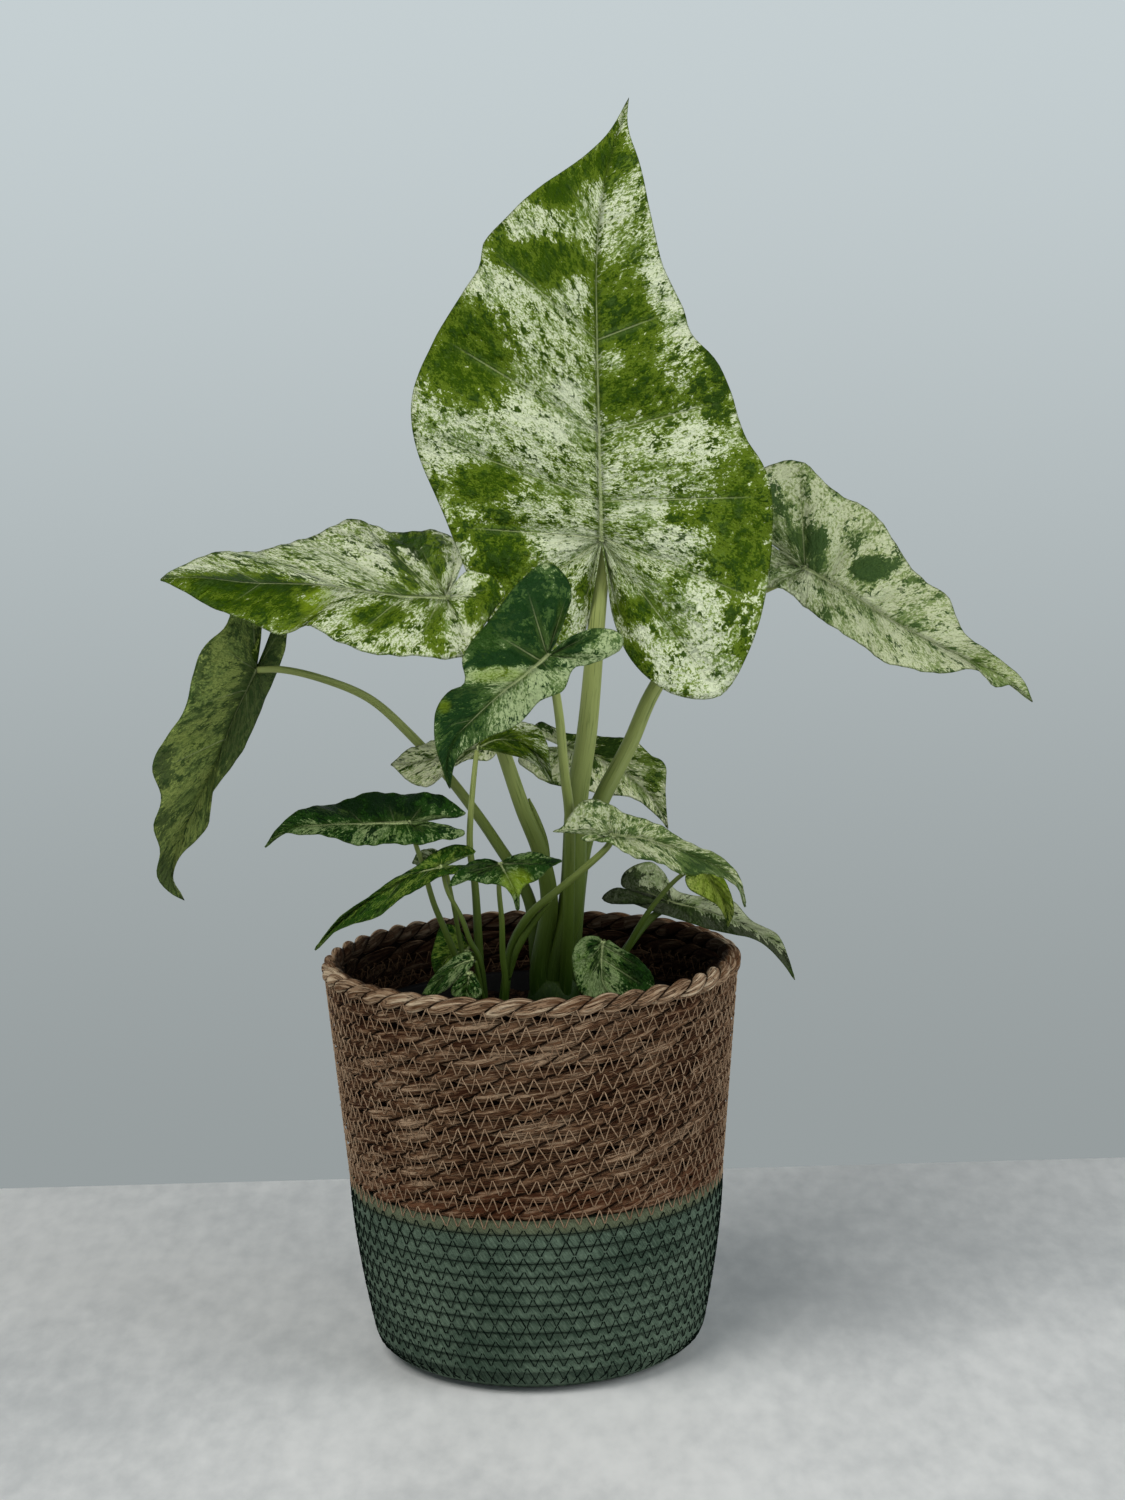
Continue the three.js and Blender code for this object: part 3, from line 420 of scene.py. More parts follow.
leaf("blade_front_dark", "dark", 0.1, lean="0 0.8, 0.3 0.3", rows=20, steps=4, fan=0.4, wave=1.5,
    quilt=1.2,
    rib="12 352 -70, 1 343 -77, -10 335 -84, -24 323 -92, -35 312 -97, -40 299 -99, -38 287 -98",
    left="16 358, 22 373, 25 384, 20 395, 12 398, -1 389, -15 372, -30 352, -29 340, -37 336, "
        "-44 326, -45 312, -42 299",
    right="17 356, 25 362, 39 366, 49 361, 48 354, 33 348, 25 346, 19 334, 8 330, -4 318, -25 309, "
        "-34 302",
    # The narrow dark splash at (-8, 351) is painted shade in a fold of the blade
    splashes="6 375 23 21 0 1.1, -21 363 10 15 0 0.9, -8 351 16 4 5 1.2 1.2, 26 357 9 3 25 1 1, "
        "10 347 6 2 -20 1 1, -34 326 14 17 0 1, -39 299 6 12 0 1 0.9, -13 343 17 4 0 -0.5 0 0.6, "
        "38 358 12 5 10 -0.4, 8 332 20 9 35 -0.5, 7 375 20 20 0 0 1, -33 326 12 15 0 0 0.9, "
        "-40 328 4 4 0 0 0 0.6, 19 370 3 13 0 0 0 0.3")
leaf("blade_right_drooping", "pale", -0.06, rows=22, steps=4, wave=1.8, waves=6, quilt=1.4,
    rib="140 392 62, 160 380 58, 178 368 52, 198 356 44, 218 346 36, 233 338 30, 252 323 24",
    left="137 396, 124 405, 109 417, 108 434, 123 444, 136 446, 152 432, 170 422, 182 407, "
        "200 383, 210 376, 219 358, 236 344, 247 335",
    right="136 393, 124 402, 112 410, 103 403, 110 384, 128 382, 140 374, 153 362, 171 352, "
        "179 344, 208 339, 225 339, 233 331, 242 332",
    splashes="127 425 5 8 0 0.6 0.7, 137 406 12 5 -75 0.7 0.6, 146 400 5 12 0 1 0.9, "
        "172 390 9 7 0 1.2 1.1, 192 385 4 3 0 0.6, 236 340 20 7 -20 0 0 0.4")
leaf("blade_back_pale", "cream", -0.1,
    rib="20 306 58, 37 300 60, 49 292 60, 60 282 58, 66 273 55, 70 264 52",
    left="15 309, 3 314, 8 320, 20 313, 36 312, 54 308, 62 302, 69 297, 69 284",
    right="15 304, 2 306, -4 300, 5 292, 17 287, 36 283, 56 278, 66 269",
    splashes="24 312 5 3 0 1 1, 41 306 8 6 0 1.1 1, 60 301 8 5 -20 0.7, 63 288 4 5 0 0.7")
leaf("blade_low_right", "pale", 0.2, lean="0 0.8, 0 1.4", rows=15,
    rib="42 261 -52, 61 258 -56, 81 250 -62, 95 243 -66, 104 236 -70, 108 223 -71",
    left="37 263, 24 264, 12 265, 17 267, 26 277, 36 279, 55 270, 83 256, 100 245, 106 237",
    right="38 260, 31 262, 26 261, 36 258, 48 253, 62 247, 75 242, 93 239, 103 235",
    splashes="82 246 8 5 -20 0.8 0.7, 94 241 6 3 -20 0.6")
leaf("blade_left_hanging", "hanging", 0.12, lean="0.6 0, 0.6 0", rows=20, wave=1.5,
    underside_shows=True,
    rib="-132 349 8, -143 328 12, -152 307 16, -162 287 20, -174 263 22, -178 245 22, -172 234 20",
    left="-135 356, -128 373, -130 388, -139 389, -145 373, -158 360, -168 330, -179 315, "
        "-185 301, -181 286, -186 272, -183 260, -185 246, -179 238",
    right="-129 354, -122 371, -115 378, -116 366, -120 352, -129 331, -144 303, -157 285, "
        "-159 272, -175 253, -177 242",
    splashes="-136 332 42 8 70 1.1 0.45, -180 302 5 9 0 0.8, -181 273 4 8 0 0.6, "
        "-181 245 5 11 0 0.9, -164 355 7 10 0 0.4, -166 315 7 20 70 0 0 0.3")
leaf("blade_centre_green", "splashed", 0.12, rows=10, wave=0.6,
    rib="-24 307 -30, -13 311 -32, 0 308 -34, 7 300 -35, 13 288 -36",
    left="-22 311, -17 317, -4 320, 6 317, 11 308, 12 298",
    right="-21 306, -13 306, -3 302, 5 298, 9 293",
    splashes="-10 309 12 8 -25 0.9, 6 296 7 4 -50 -0.3, -3 307 10 4 -30 0 0.5")
leaf("blade_right_small", "hanging", 0.1, lean="0.3 0.3, -0.3 0.3", rows=9, wave=0.5,
    rib="86 245 -22, 92 236 -24, 97 227 -26, 99 213 -27",
    left="83 246, 78 239, 80 233, 88 228, 94 224, 97 219",
    right="90 246, 96 240, 101 229, 102 220",
    splashes="92 232 12 18 0 0 0 0.6")
leaf("blade_right_over_rim", "lying", -0.05, rows=16, wave=0.8, underside_shows=True,
    rib="70 226 6, 85 222 4, 105 214 2, 119 206 0, 127 197 -2, 132 185 -4",
    left="66 229, 55 232, 46 236, 48 243, 61 247, 67 242, 73 233, 85 229, 102 226, 111 216, "
        "124 208, 129 197",
    right="66 226, 55 231, 44 235, 36 229, 42 226, 49 227, 67 220, 88 213, 102 209, 113 206, "
        "119 202, 126 194",
    # The two strong dark splashes are painted shade on the underside that is turned away from the light
    splashes="80 232 35 5 -24 -2, 120 201 15 10 -50 -2, 48 225 30 12 -22 0 3, 96 204 35 9 -24 0 3")
leaf("blade_in_pot_right", "pot", 0.12, lean="0.2 0.2, 0.3 0.3", rows=10, wave=0.6,
    rib="36 207 -58, 35 197 -61, 36 185 -64, 43 176 -66",
    left="34 210, 27 210, 21 203, 21 194, 24 182, 32 177",
    right="39 208, 46 203, 55 197, 61 188, 61 181, 54 177",
    splashes="55 194 10 12 -40 1, 31 204 3 6 0 0.7, 30 198 11 10 0 -0.4, 31 198 3 6 0 0 0.5")
leaf("blade_in_pot_left_yellow", "green", 0.3, lean="0 0.5, 0 0.5", rows=8, steps=2, wave=0.3,
    rib="-31 205 -29, -39 203 -31, -45 197 -33, -48 192 -34",
    left="-32 209, -37 217, -44 218, -48 209, -50 200",
    right="-32 202, -36 197, -42 194")
leaf("blade_in_pot_left_striped", "pot", 0.3, lean="0 0.6, 0 0.6", rows=8, steps=2, wave=0.3,
    rib="-29 200 -58, -37 197 -62, -46 190 -66, -55 183 -70",
    left="-30 204, -36 203, -44 197, -50 191",
    right="-29 197, -34 192, -41 186, -49 182")
leaf("blade_in_pot_left_pale", "pot", 0.35, lean="0 0.4, 0 0.4", rows=7, steps=2, wave=0.3,
    rib="-31 193 -66, -32 187 -68, -34 180 -69",
    left="-34 192, -40 186, -40 182",
    right="-28 191, -25 183, -27 180")
leaf("blade_low_left_dark", "pot", 0.55, lean="0 1.3, 0 1.3", rows=15,
    rib="-59 270 -46, -78 270 -50, -98 270 -54, -116 269 -57, -125 265 -58, -131 260 -58",
    left="-56 272, -41 273, -30 275, -35 279, -47 284, -66 286, -95 282, -116 276, -125 269",
    right="-56 268, -43 270, -31 265, -34 261, -47 261, -73 259, -95 263, -112 266, -123 267",
    splashes="-78 280 40 7 0 1 0.8, -91 266 33 4 -3 -0.5, -48 280 8 4 -10 -0.5, "
        "-44 266 12 4 0 -0.4, -71 262 15 4 0 0 0.5")
leaf("blade_low_left_narrow", "green", 0.45, lean="0 1, 0 1", rows=14, wave=0.8,
    rib="-44 247 -58, -54 245 -62, -66 239 -66, -85 229 -70, -97 218 -73, -108 207 -75",
    left="-41 250, -33 252, -26 255, -33 259, -44 256, -57 248, -75 237, -95 223, -104 213",
    right="-41 246, -33 248, -29 248, -36 244, -45 242, -62 233, -77 223, -98 216")
leaf("blade_low_front", "pot", 0.3, lean="0 1.6, 0 1.6", rows=12, fan=0.5, wave=0.6,
    rib="-14 248 -72, -11 242 -78, -8 236 -84, -6 231 -88, -6 224 -89",
    left="-17 250, -29 250, -40 238, -31 240, -24 239, -16 238, -10 234",
    right="-11 250, -2 254, 8 252, 17 249, 10 245, 3 239, -3 236, -5 231",
    splashes="-24 247 12 4 0 0.7, 8 246 12 4 0 0.4, -24 248 12 4 0 0 0.4, 6 249 12 3 0 0 0.4, "
        "-6 238 8 7 0 0 0 0.8")
leaf("blade_behind_narrow", "pale", 0, rows=7, steps=2, wave=0.3,
    rib="-42 252 -42, -50 252 -42, -58 250 -42",
    left="-42 255, -49 257, -55 255",
    right="-43 249, -51 247")
leaf("blade_left_pale", "cream", -0.05, lean="0 0.9, 0 0.9", rows=11, wave=0.8,
    rib="-13 310 24, -28 306 22, -42 303 20, -55 300 18, -67 300 16",
    left="-15 314, -27 316, -46 311, -54 309, -60 306",
    right="-11 307, -19 301, -30 301, -40 296, -48 289, -55 289")

print(len(leaves), "leaves")

# %% [markdown]
# The flat layout becomes a leaf in three steps, all along the way the blade faces: the margins
# lift or droop, the skin bulges between two side veins, and the margin waves. Then the sheet
# gets a front, a back and a thin edge, with the midrib standing out mostly underneath.

# %% Blade dimensions
# In millimetres: thickness, and how far the midrib and the side veins reach and stand out.
# RIB_ABOVE is the share of the midrib's height that shows on the upper side
BLADE_THICKNESS = 0.8
EDGE_THICKNESS = 0.45
RIB_ROOT_HEIGHT = 2.4
RIB_TIP_HEIGHT = 1.0
RIB_REACH = 1.9
RIB_ABOVE = 0.2
VEIN_REACH = 0.9
VEIN_ABOVE = -0.12
VEIN_BELOW = 0.3
# How the rows spread along the midrib, and the points of a row out to the margin
RIB_SPREAD = 1.7
OUT_SPREAD = 1.25
RIB_SAMPLES = 60
MARGIN_SAMPLES = 80
ROWS_PER_VEIN = 12
FINER_STEPS = 5
# The bends: the wave of the right half against the left, the cup, and their end at the tip
WAVE_SHIFT = 1.3
CUP_CURVE = 1.5
TIP_FADE = 6
QUILT_DEPTH = 1.7
RUFFLE = 0.22
# How strongly a splash of green and one of cream count
SPLASH_WEIGHT = 1.15
CREAM_WEIGHT = 0.5
FAR_FROM_VEIN = 9.0


# %% Blade surfaces
def splashed(layout, splashes):
    """Sums of green, dark and lime: each tilted round splash falls from its middle in a bell."""
    total = np.zeros((*layout.shape[:-1], 3))
    for across, up, half_width, half_height, tilt, *added in splashes:
        dx, dz = layout[..., 0] - across, layout[..., 1] - up
        turn = np.radians(tilt)
        long_way = (dx * np.cos(turn) + dz * np.sin(turn)) / half_width
        short_way = (dz * np.cos(turn) - dx * np.sin(turn)) / half_height
        bell = np.exp(-((long_way**2 + short_way**2) ** 2.0) * 0.7)
        total[..., :len(added)] += bell[..., None] * added
    return np.moveaxis(total, -1, 0)


def point_normals(points, triangles):
    """Each triangle's cross product, added up at its corners and made one long."""
    first, second, third = (points[triangles[:, k]] for k in range(3))
    facing = np.cross(second - first, third - first)
    total = np.zeros_like(points)
    for corner in range(3):
        np.add.at(total, triangles[:, corner], facing)
    return unit(total)


def leaf_layout(form, rows, steps):
    """Both halves as (across, up, depth): straight lines from midrib points to margin points,
    where depth grows by the lean for each millimetre across and up."""
    fan = round(form["rows"] * form["fan"]) / form["rows"]
    share = np.linspace(0, 1, rows + 1)
    rib_share = np.clip((share - fan) / (1 - fan), 0, 1) ** RIB_SPREAD
    rib = along(smooth_line(form["rib"], RIB_SAMPLES), rib_share)[:, None]
    out = np.linspace(0, 1, steps + 1) ** OUT_SPREAD
    halves = []
    for side, lean in zip(("left", "right"), form["lean"]):
        margin = along(smooth_line(form[side], MARGIN_SAMPLES), share)[:, None]
        from_rib = (margin - rib)[..., :2] * out[:, None]
        depth = rib[..., 2] + (from_rib * lean).sum(axis=-1)
        halves.append(np.dstack([rib[..., :2] + from_rib, depth]))
    return np.stack(halves), share, out, int(fan * rows + 1e-6)


def leaf_fields(form, layout, share, out):
    """What the finish reads: distances in millimetres from midrib, side vein and margin, a
    space that is long along the side veins, and the splashes."""
    flat = layout[..., :2]
    length = np.linalg.norm(flat[:, :, -1] - flat[:, :, 0], axis=-1)[..., None]
    pace = np.linalg.norm(np.gradient(flat, share, axis=1), axis=-1)
    vein = share * form["veins"]
    off_vein = np.abs(vein - np.round(vein)) / form["veins"]
    edge_rows = (vein < 0.5) | (vein > form["veins"] - 0.5)
    middle = flat[:, :, flat.shape[2] // 2]
    walked = np.cumsum(np.linalg.norm(np.diff(middle, axis=1, prepend=middle[:, :1]), axis=-1), 1)
    apart = form["seed"] * 31.0 + np.array([0.0, 9.0])[:, None, None]
    green, dark, lime = splashed(layout, form["splashes"])
    return {
        "share": np.broadcast_to(share[:, None], green.shape),
        "across": np.stack([out + 0 * share[:, None], -out + 0 * share[:, None]]),
        "rib_mm": length * out,
        "vein_mm": np.where(edge_rows, FAR_FROM_VEIN, off_vein)[:, None] * pace,
        "margin_mm": length * (1 - out),
        "vein_space": np.stack(np.broadcast_arrays(length * out, walked[..., None], apart), -1),
        "green": np.where(green > 0, SPLASH_WEIGHT, CREAM_WEIGHT) * green + form["greenness"],
        "dark": dark,
        "lime": lime,
    }


def shaped(points, normals, across, share, form):
    """Moves points along the blade's mean facing by cup, margin wave and quilting."""
    facing = unit(normals.mean(axis=0))
    facing = facing if facing[1] <= 0 else -facing
    out = np.abs(across)
    turn = 2 * np.pi * form["waves"] * share + np.where(across > 0, 0, WAVE_SHIFT)
    between = np.sin(np.pi * form["veins"] * share) ** 2
    rise = form["cup"] * out**CUP_CURVE + form["wave"] * np.sin(turn) * out**2
    rise = rise + QUILT_DEPTH * form["quilt"] * between * np.sin(np.pi * out)
    ruffle = np.sin(turn * 2.7 + form["seed"]) * out**3 + np.sin(turn * 4.3 + 1) * out**6
    rise = rise + RUFFLE * form["wave"] * ruffle
    return points + facing * (rise * (1 - share**TIP_FADE))[:, None], facing


def leaf_blade(form):
    """A closed thin blade: the sheet moved to both sides by half its thickness, and an edge.
    Both halves share the midrib's points, and the fanned rows share the first of these."""
    rows = form["veins"] * ROWS_PER_VEIN
    steps = form["steps"] * FINER_STEPS
    layout, share, out, fanned = leaf_layout(form, rows, steps)
    rib_ids = np.maximum(np.arange(rows + 1) - fanned, 0)
    ids = np.empty((2, rows + 1, steps + 1), int)
    ids[:, :, 0] = rib_ids
    ids[:, :rows, 1:] = rib_ids[-1] + 1 + np.arange(2 * rows * steps).reshape(2, rows, steps)
    ids[:, rows] = rib_ids[-1]
    count = ids.max() + 1

    def pick(values):
        gathered = np.empty((count, *values.shape[3:]))
        gathered[ids.ravel()] = values.reshape(-1, *values.shape[3:])
        return gathered

    quads = np.stack([ids[:, :-1, :-1], ids[:, :-1, 1:], ids[:, 1:, 1:], ids[:, 1:, :-1]], -1)
    quads[1] = quads[1, ..., ::-1].copy()
    quads = quads.reshape(-1, 4)
    triangles = np.vstack([quads[:, [0, 1, 2]], quads[:, [0, 2, 3]]])
    triangles = triangles[(triangles != np.roll(triangles, 1, axis=1)).all(axis=1)]

    fields = {name: pick(values) for name, values in leaf_fields(form, layout, share, out).items()}
    across = fields.pop("across")
    points = pick(seen(layout))
    points, facing = shaped(points, point_normals(points, triangles), across, fields["share"], form)
    normals = point_normals(points, triangles)

    rib_share = np.clip((fields["share"] - fanned / rows) / (1 - fanned / rows), 0, 1)
    rib_height = RIB_ROOT_HEIGHT + (RIB_TIP_HEIGHT - RIB_ROOT_HEIGHT) * rib_share
    rib = rib_height / 2 * np.exp(-((fields["rib_mm"] / RIB_REACH) ** 2))
    vein = np.exp(-((fields["vein_mm"] / VEIN_REACH) ** 2)) * (1 - np.abs(across))
    skin = (EDGE_THICKNESS + (BLADE_THICKNESS - EDGE_THICKNESS) * (1 - across**4)) / 2
    upper = skin + RIB_ABOVE * rib + VEIN_ABOVE * vein
    lower = skin + rib + VEIN_BELOW * vein
    plus_is_upper = ((normals @ facing).mean() > 0) != form["underside_shows"]
    plus, minus = (upper, lower) if plus_is_upper else (lower, upper)
    both = np.vstack([points + normals * plus[:, None], points - normals * minus[:, None]])

    loop = np.concatenate([ids[0, ::-1, -1], ids[0, 0, -2::-1], ids[1, 0, 1:], ids[1, 1:-1, -1]])
    after = np.roll(loop, -1)
    forward = ((triangles == loop[3]) & (np.roll(triangles, -1, axis=1) == after[3])).any()
    start, end = (loop, after) if forward else (after, loop)
    edge = np.stack([start, start + count, end + count, end], axis=-1)
    faces = [np.vstack([triangles, triangles[:, ::-1] + count]), edge]
    fields = {name: np.concatenate([values, values]) for name, values in fields.items()}
    under = np.repeat([0.0, 1.0] if plus_is_upper else [1.0, 0.0], count)
    return both, faces, {**fields, "under": under}


# %% [markdown]
# ## The leaf finish
#
# The cream and green are patches of different cells, so they have ragged edges and grow along
# the side veins. The finish therefore draws its noise in a space that is stretched that way.
# One level of green, made of splashes and several sizes of noise, is cut at rising heights into
# cream, pale green, leaf green and deep green. Each look lists these four and the dark green.

# %% The leaf finishes
LOOKS = {
    "splashed": [(238, 246, 208), (146, 168, 84), (100, 124, 26), (58, 86, 0), (44, 72, 12)],
    "pale": [(218, 226, 182), (162, 178, 114), (104, 128, 68), (72, 98, 44), (62, 88, 44)],
    "cream": [(252, 255, 210), (196, 210, 136), (118, 142, 56), (68, 96, 24), (48, 76, 24)],
    # The lying look's near-black dark green is painted shade for the shaded part of the blade over the
    # rim
    "lying": [(206, 212, 176), (150, 164, 114), (96, 114, 60), (40, 66, 22), (0, 22, 0)],
    "dark": [(184, 202, 146), (100, 126, 72), (72, 102, 48), (44, 76, 24), (26, 60, 24)],
    "hanging": [(176, 190, 96), (128, 148, 62), (56, 80, 10), (28, 48, 0), (64, 88, 44)],
    "green": [(124, 148, 58), (82, 110, 32), (44, 80, 14), (20, 54, 0), (14, 42, 4)],
    # The pot look is darker than the leaves' own green: partly their colour, partly painted shade for
    # leaves low in the pot
    "pot": [(136, 156, 102), (88, 114, 62), (30, 64, 14), (12, 40, 2), (10, 36, 8)],
}
LIME = (142, 168, 30)
RIB_PALE = (196, 210, 146)
RIB_SHADE = (44, 66, 12)
UNDER_GREY = (140, 158, 100)
# The grey-green of the veil pattern, also used for the painted sheen and for the painted shade beside the
# side veins
VEIL_SHEEN_AND_SHADE_GREEN = (104, 132, 62)
MARGIN_GREEN = (60, 84, 28)

# Where the colours begin and are full, on the levels that the finish works out
PALE_LEVEL = (-0.16, 0.14)
GREEN_LEVEL = (0.3, 0.34)
DEEP_LEVEL = (0.92, 1.12)
DARK_LEVEL = (0.44, 0.6)


def leaf_finish(look):
    cream, pale, green, deep, dark = LOOKS[look]
    finish = new_finish("leaf_" + look)
    fine = finish.noise("vein_space", 0.6, 5, 0.62, bend=0.9, stretch=(0.6, 1.0, 1.0))
    speck = finish.noise("vein_space", 1.5, 3, 0.65, stretch=(0.6, 1.0, 1.0))
    spots = finish.noise("vein_space", 0.17, 4, 0.6, stretch=(0.8, 1.0, 0.3))
    veil = finish.noise("vein_space", 0.06, 3, 0.6, stretch=(0.6, 1.0, 0.7))
    patch, under, share = (finish.field(name) for name in ("green", "under", "share"))
    off_rib, off_vein, off_margin = (finish.field(name) for name in ("rib_mm", "vein_mm", "margin_mm"))

    pale_level = patch * 0.5 + veil * 1.4 + speck * 2.4 + fine * 2.4 + spots * 0.8
    level = patch + veil * 0.9 + spots * 3.3 + fine * 2.8 + speck * 0.9
    dark_level = finish.field("dark") + spots * 4.4 + fine * 3.0
    veiled = (spots + veil * 1.5 + fine * 1.6).step(0.04, 0.1)
    rib_edge = off_rib + fine * 0.5 + share * 1.5
    rib = rib_edge.step(1.9, 1.1) * share.step(1.1, 0.85)
    inner = off_margin.step(4.0, 34.0)
    vein_edge = off_vein + speck * 0.5
    vein = vein_edge.step(0.7, 0.2) * inner

    base = finish.mix(pale_level.step(*PALE_LEVEL), cream, pale)
    for amount, tone in (
        (veiled * 0.5, VEIL_SHEEN_AND_SHADE_GREEN),
        (level.step(*GREEN_LEVEL), green),
        ((level + speck * 1.5 - fine * 0.8).step(*DEEP_LEVEL), deep),
        (under * 0.35, UNDER_GREY),
        (dark_level.step(*DARK_LEVEL) * 0.85, dark),
        # painted sheen: grey-green patches that stand in for the leaves' satin reflection
        ((spots - fine + veil).step(0.1, 0.3) * 0.22, VEIL_SHEEN_AND_SHADE_GREEN),
        (finish.field("lime").step(0.15, 0.8) * 0.6, LIME),
        # painted shade along both sides of the side veins
        (vein_edge.step(0.5, 1.1) * vein_edge.step(3.6, 1.4) * inner * 0.3, VEIL_SHEEN_AND_SHADE_GREEN),
        (vein * 0.5, RIB_PALE),
        (rib_edge.step(1.4, 2.0) * rib_edge.step(4.6, 2.2) * 0.45, RIB_SHADE),
        (rib * 0.8, RIB_PALE),
        ((off_margin + speck).step(0.8, 0.2) * 0.5, MARGIN_GREEN),
    ):
        base = finish.mix(amount, base, tone)

    valley = off_vein.step(7.0, 0.0) * off_margin.step(2.0, 26.0)
    relief = spots * 3.6 + fine * 0.6 - (vein * 0.6 + valley) * (1.0 - under * 1.8) + rib * 0.6
    gloss = 0.42 + fine * 0.2 + under * 0.15
    return finish.paint(base, relief, 2.2, gloss, specular=0.08)


leaf_materials = {look: leaf_finish(look) for look in LOOKS}
print("leaf finishes:", list(leaf_materials))

# %% Making the blades
slots = {part["node"]: part["material_slot"] for part in frame["record"]["subparts"]}
for form in leaves:
    node = form["name"]
    make_piece(node.replace("blade", "leaf"), [leaf_blade(form)], leaf_materials[form["look"]],
               slots[node], node)

# %% [markdown]
# ## Stalks
#
# Each stalk is a long tapering tube, thickest where it sheathes the plant's foot. It starts
# beside the middle of that foot and follows its points to its blade. Faint stripes run along it,
# so the finish gets a space that is wrapped round the tube and squeezed along its length.
#
# A route is written as the start (x and y from the foot's middle), the radius at the root and at
# the end, and the points as they are seen, with their depths.

# %% Stalk routes
SOIL_TOP = 166.0
STALK_START = 2.0
STALK_STEPS = 90
STALK_SIDES = 20
STALK_TAPER = 0.7
FOOT_SEGMENTS = 48
FOOT_WAIST = 0.9
SHOULDER_CURVE = 0.5
SHOULDER_STEPS = 9
SHEATH_STEPS = 30
SHEATH_SIDES = 12
SHEATH_THICKNESS = 0.7
SHEATH_TAPER = 0.6
main_foot = {"x": 11, "y": -2, "radius": 14.5, "depth": 22, "height": 26}
front_foot = {"x": -21, "y": -43, "radius": 12, "depth": 16, "height": 12}
right_foot = {"x": 37, "y": -14, "radius": 6.5, "depth": 14, "height": 10}
main_routes = [
    (1, -1, 8, 3.8, "12 191 -4, 21 228 -4, 25 279 0, 31 315 4, 37 370 10, 40 399 16, 40 407 14"),
    (4, -6, 3.6, 2, "18 199 -12, 20 239 -20, 21 272 -32, 19 294 -46, 17 323 -59, 14 344 -66, 12 351 -68"),
    (6, 2, 6, 3, "19 191 2, 28 258 10, 38 281 18, 52 307 32, 64 333 46, 83 359 58, 113 380 72, "
     "139 391 66"),
    (-5, -3, 5.5, 2.8, "4 191 -6, 10 229 -8, 6 254 -10, -2 276 -12, -11 305 -14, -22 338 -17, "
     "-33 370 -20, -37 380 -20"),
    (-6, 3, 4, 1.7, "3 199 3, 0 230 8, -16 260 20, -37 291 32, -57 315 34, -76 333 28, -100 344 14, "
     "-120 349 4, -131 349 5"),
    (-4, 4, 3, 1.4, "7 199 3, 9 229 5, 5 254 9, -3 280 16, -11 303 26, -13 309 25"),
    (4, 6, 3, 1.5, "18 199 8, 22 229 14, 22 255 28, 20 282 48, 19 300 62, 20 305 60"),
]
front_routes = [
    (-4, 5, 3, 1.2, "-26 187 -30, -26 202 -30, -27 238 -32, -29 259 -33, -25 300 -31, -24 306 -30"),
    (5, 4, 2.8, 1.6, "-13 187 -36, -9 207 -38, 0 222 -44, 13 233 -48, 28 245 -51, 40 256 -51, "
     "42 260 -51"),
    (-7, -2, 2.4, 1.1, "-32 187 -45, -38 203 -46, -44 219 -48, -48 230 -49, -53 250 -48, -56 260 -46, "
     "-58 269 -45"),
    (-2, -5, 2, 1, "-24 187 -50, -26 201 -52, -30 209 -54, -34 221 -56, -41 236 -58, -43 246 -57"),
    (6, -5, 2, 1.1, "-13 187 -55, -14 201 -58, -14 219 -63, -15 237 -69, -14 247 -71"),
    (-5, 1, 1.8, 0.9, "-32 187 -38, -36 215 -37, -40 240 -40, -42 251 -41"),
    (-3, 6, 1.8, 1, "-26 190 -33, -28 201 -29, -32 205 -28"),
    (-3, -7, 1.8, 1, "-26 188 -54, -28 199 -57"),
    (1, -8, 1.6, 1, "-25 182 -60, -29 192 -65"),
]
right_routes = [
    (0, 2, 2.6, 1.8, "38 190 -8, 47 202 -2, 60 218 5, 70 225 9"),
    (2, 0, 2.2, 1, "43 190 -14, 58 220 -18, 76 240 -19, 85 244 -20"),
    (0, -2, 2.2, 1.4, "38 184 -28, 38 200 -48, 36 206 -56"),
]
main_sheaths = [(4.4, "1 281 -11, 4.5 270 -11, 8 259 -10, 10.5 247 -9")]
front_sheaths = [(3.6, "11 229 -47, 1 217 -43, -7 204 -41, -11 189 -38")]


# %% Stalk surfaces
def stalk(foot, x, y, root, end, points):
    """A tube whose radius falls quickly at first, with a slightly uneven section."""
    first = [foot["x"] + x, foot["y"] + y, SOIL_TOP + STALK_START]
    route = smooth_line(np.vstack([[first], seen(numbers(points))]), STALK_STEPS)
    share = np.linspace(0, 1, len(route))[:, None]
    angle = full_turn(STALK_SIDES)
    radius = root + (end - root) * share**STALK_TAPER
    shape = 1 + 0.035 * np.cos(3 * angle + x) + 0.02 * np.cos(5 * angle)
    length = np.linalg.norm(np.diff(route, axis=0), axis=1).sum()
    space = np.broadcast_arrays(radius * np.cos(angle), radius * np.sin(angle), share * length)
    fields = {"tube_space": np.stack(space, -1), "share": np.repeat(share, STALK_SIDES, 1)}
    return tubes(route[None], (radius * shape)[None], STALK_SIDES, (0, 1, 0), fields)


def foot_surface(foot):
    """The swollen foot: a shoulder turned round its axis, from which the stalks rise."""
    low = SOIL_TOP - foot["depth"]
    profile = [(0, low), (foot["radius"] * FOOT_WAIST, low), (foot["radius"], SOIL_TOP)]
    for turn in np.linspace(0, np.pi / 2, SHOULDER_STEPS + 1)[1:-1]:
        radius = foot["radius"] * np.cos(turn) ** SHOULDER_CURVE
        profile.append((radius, SOIL_TOP + foot["height"] * np.sin(turn)))
    points, faces = turned([*profile, (0, SOIL_TOP + foot["height"])], FOOT_SEGMENTS)
    return points + [foot["x"], foot["y"], 0], faces, {"tube_space": points, "share": 0.0}


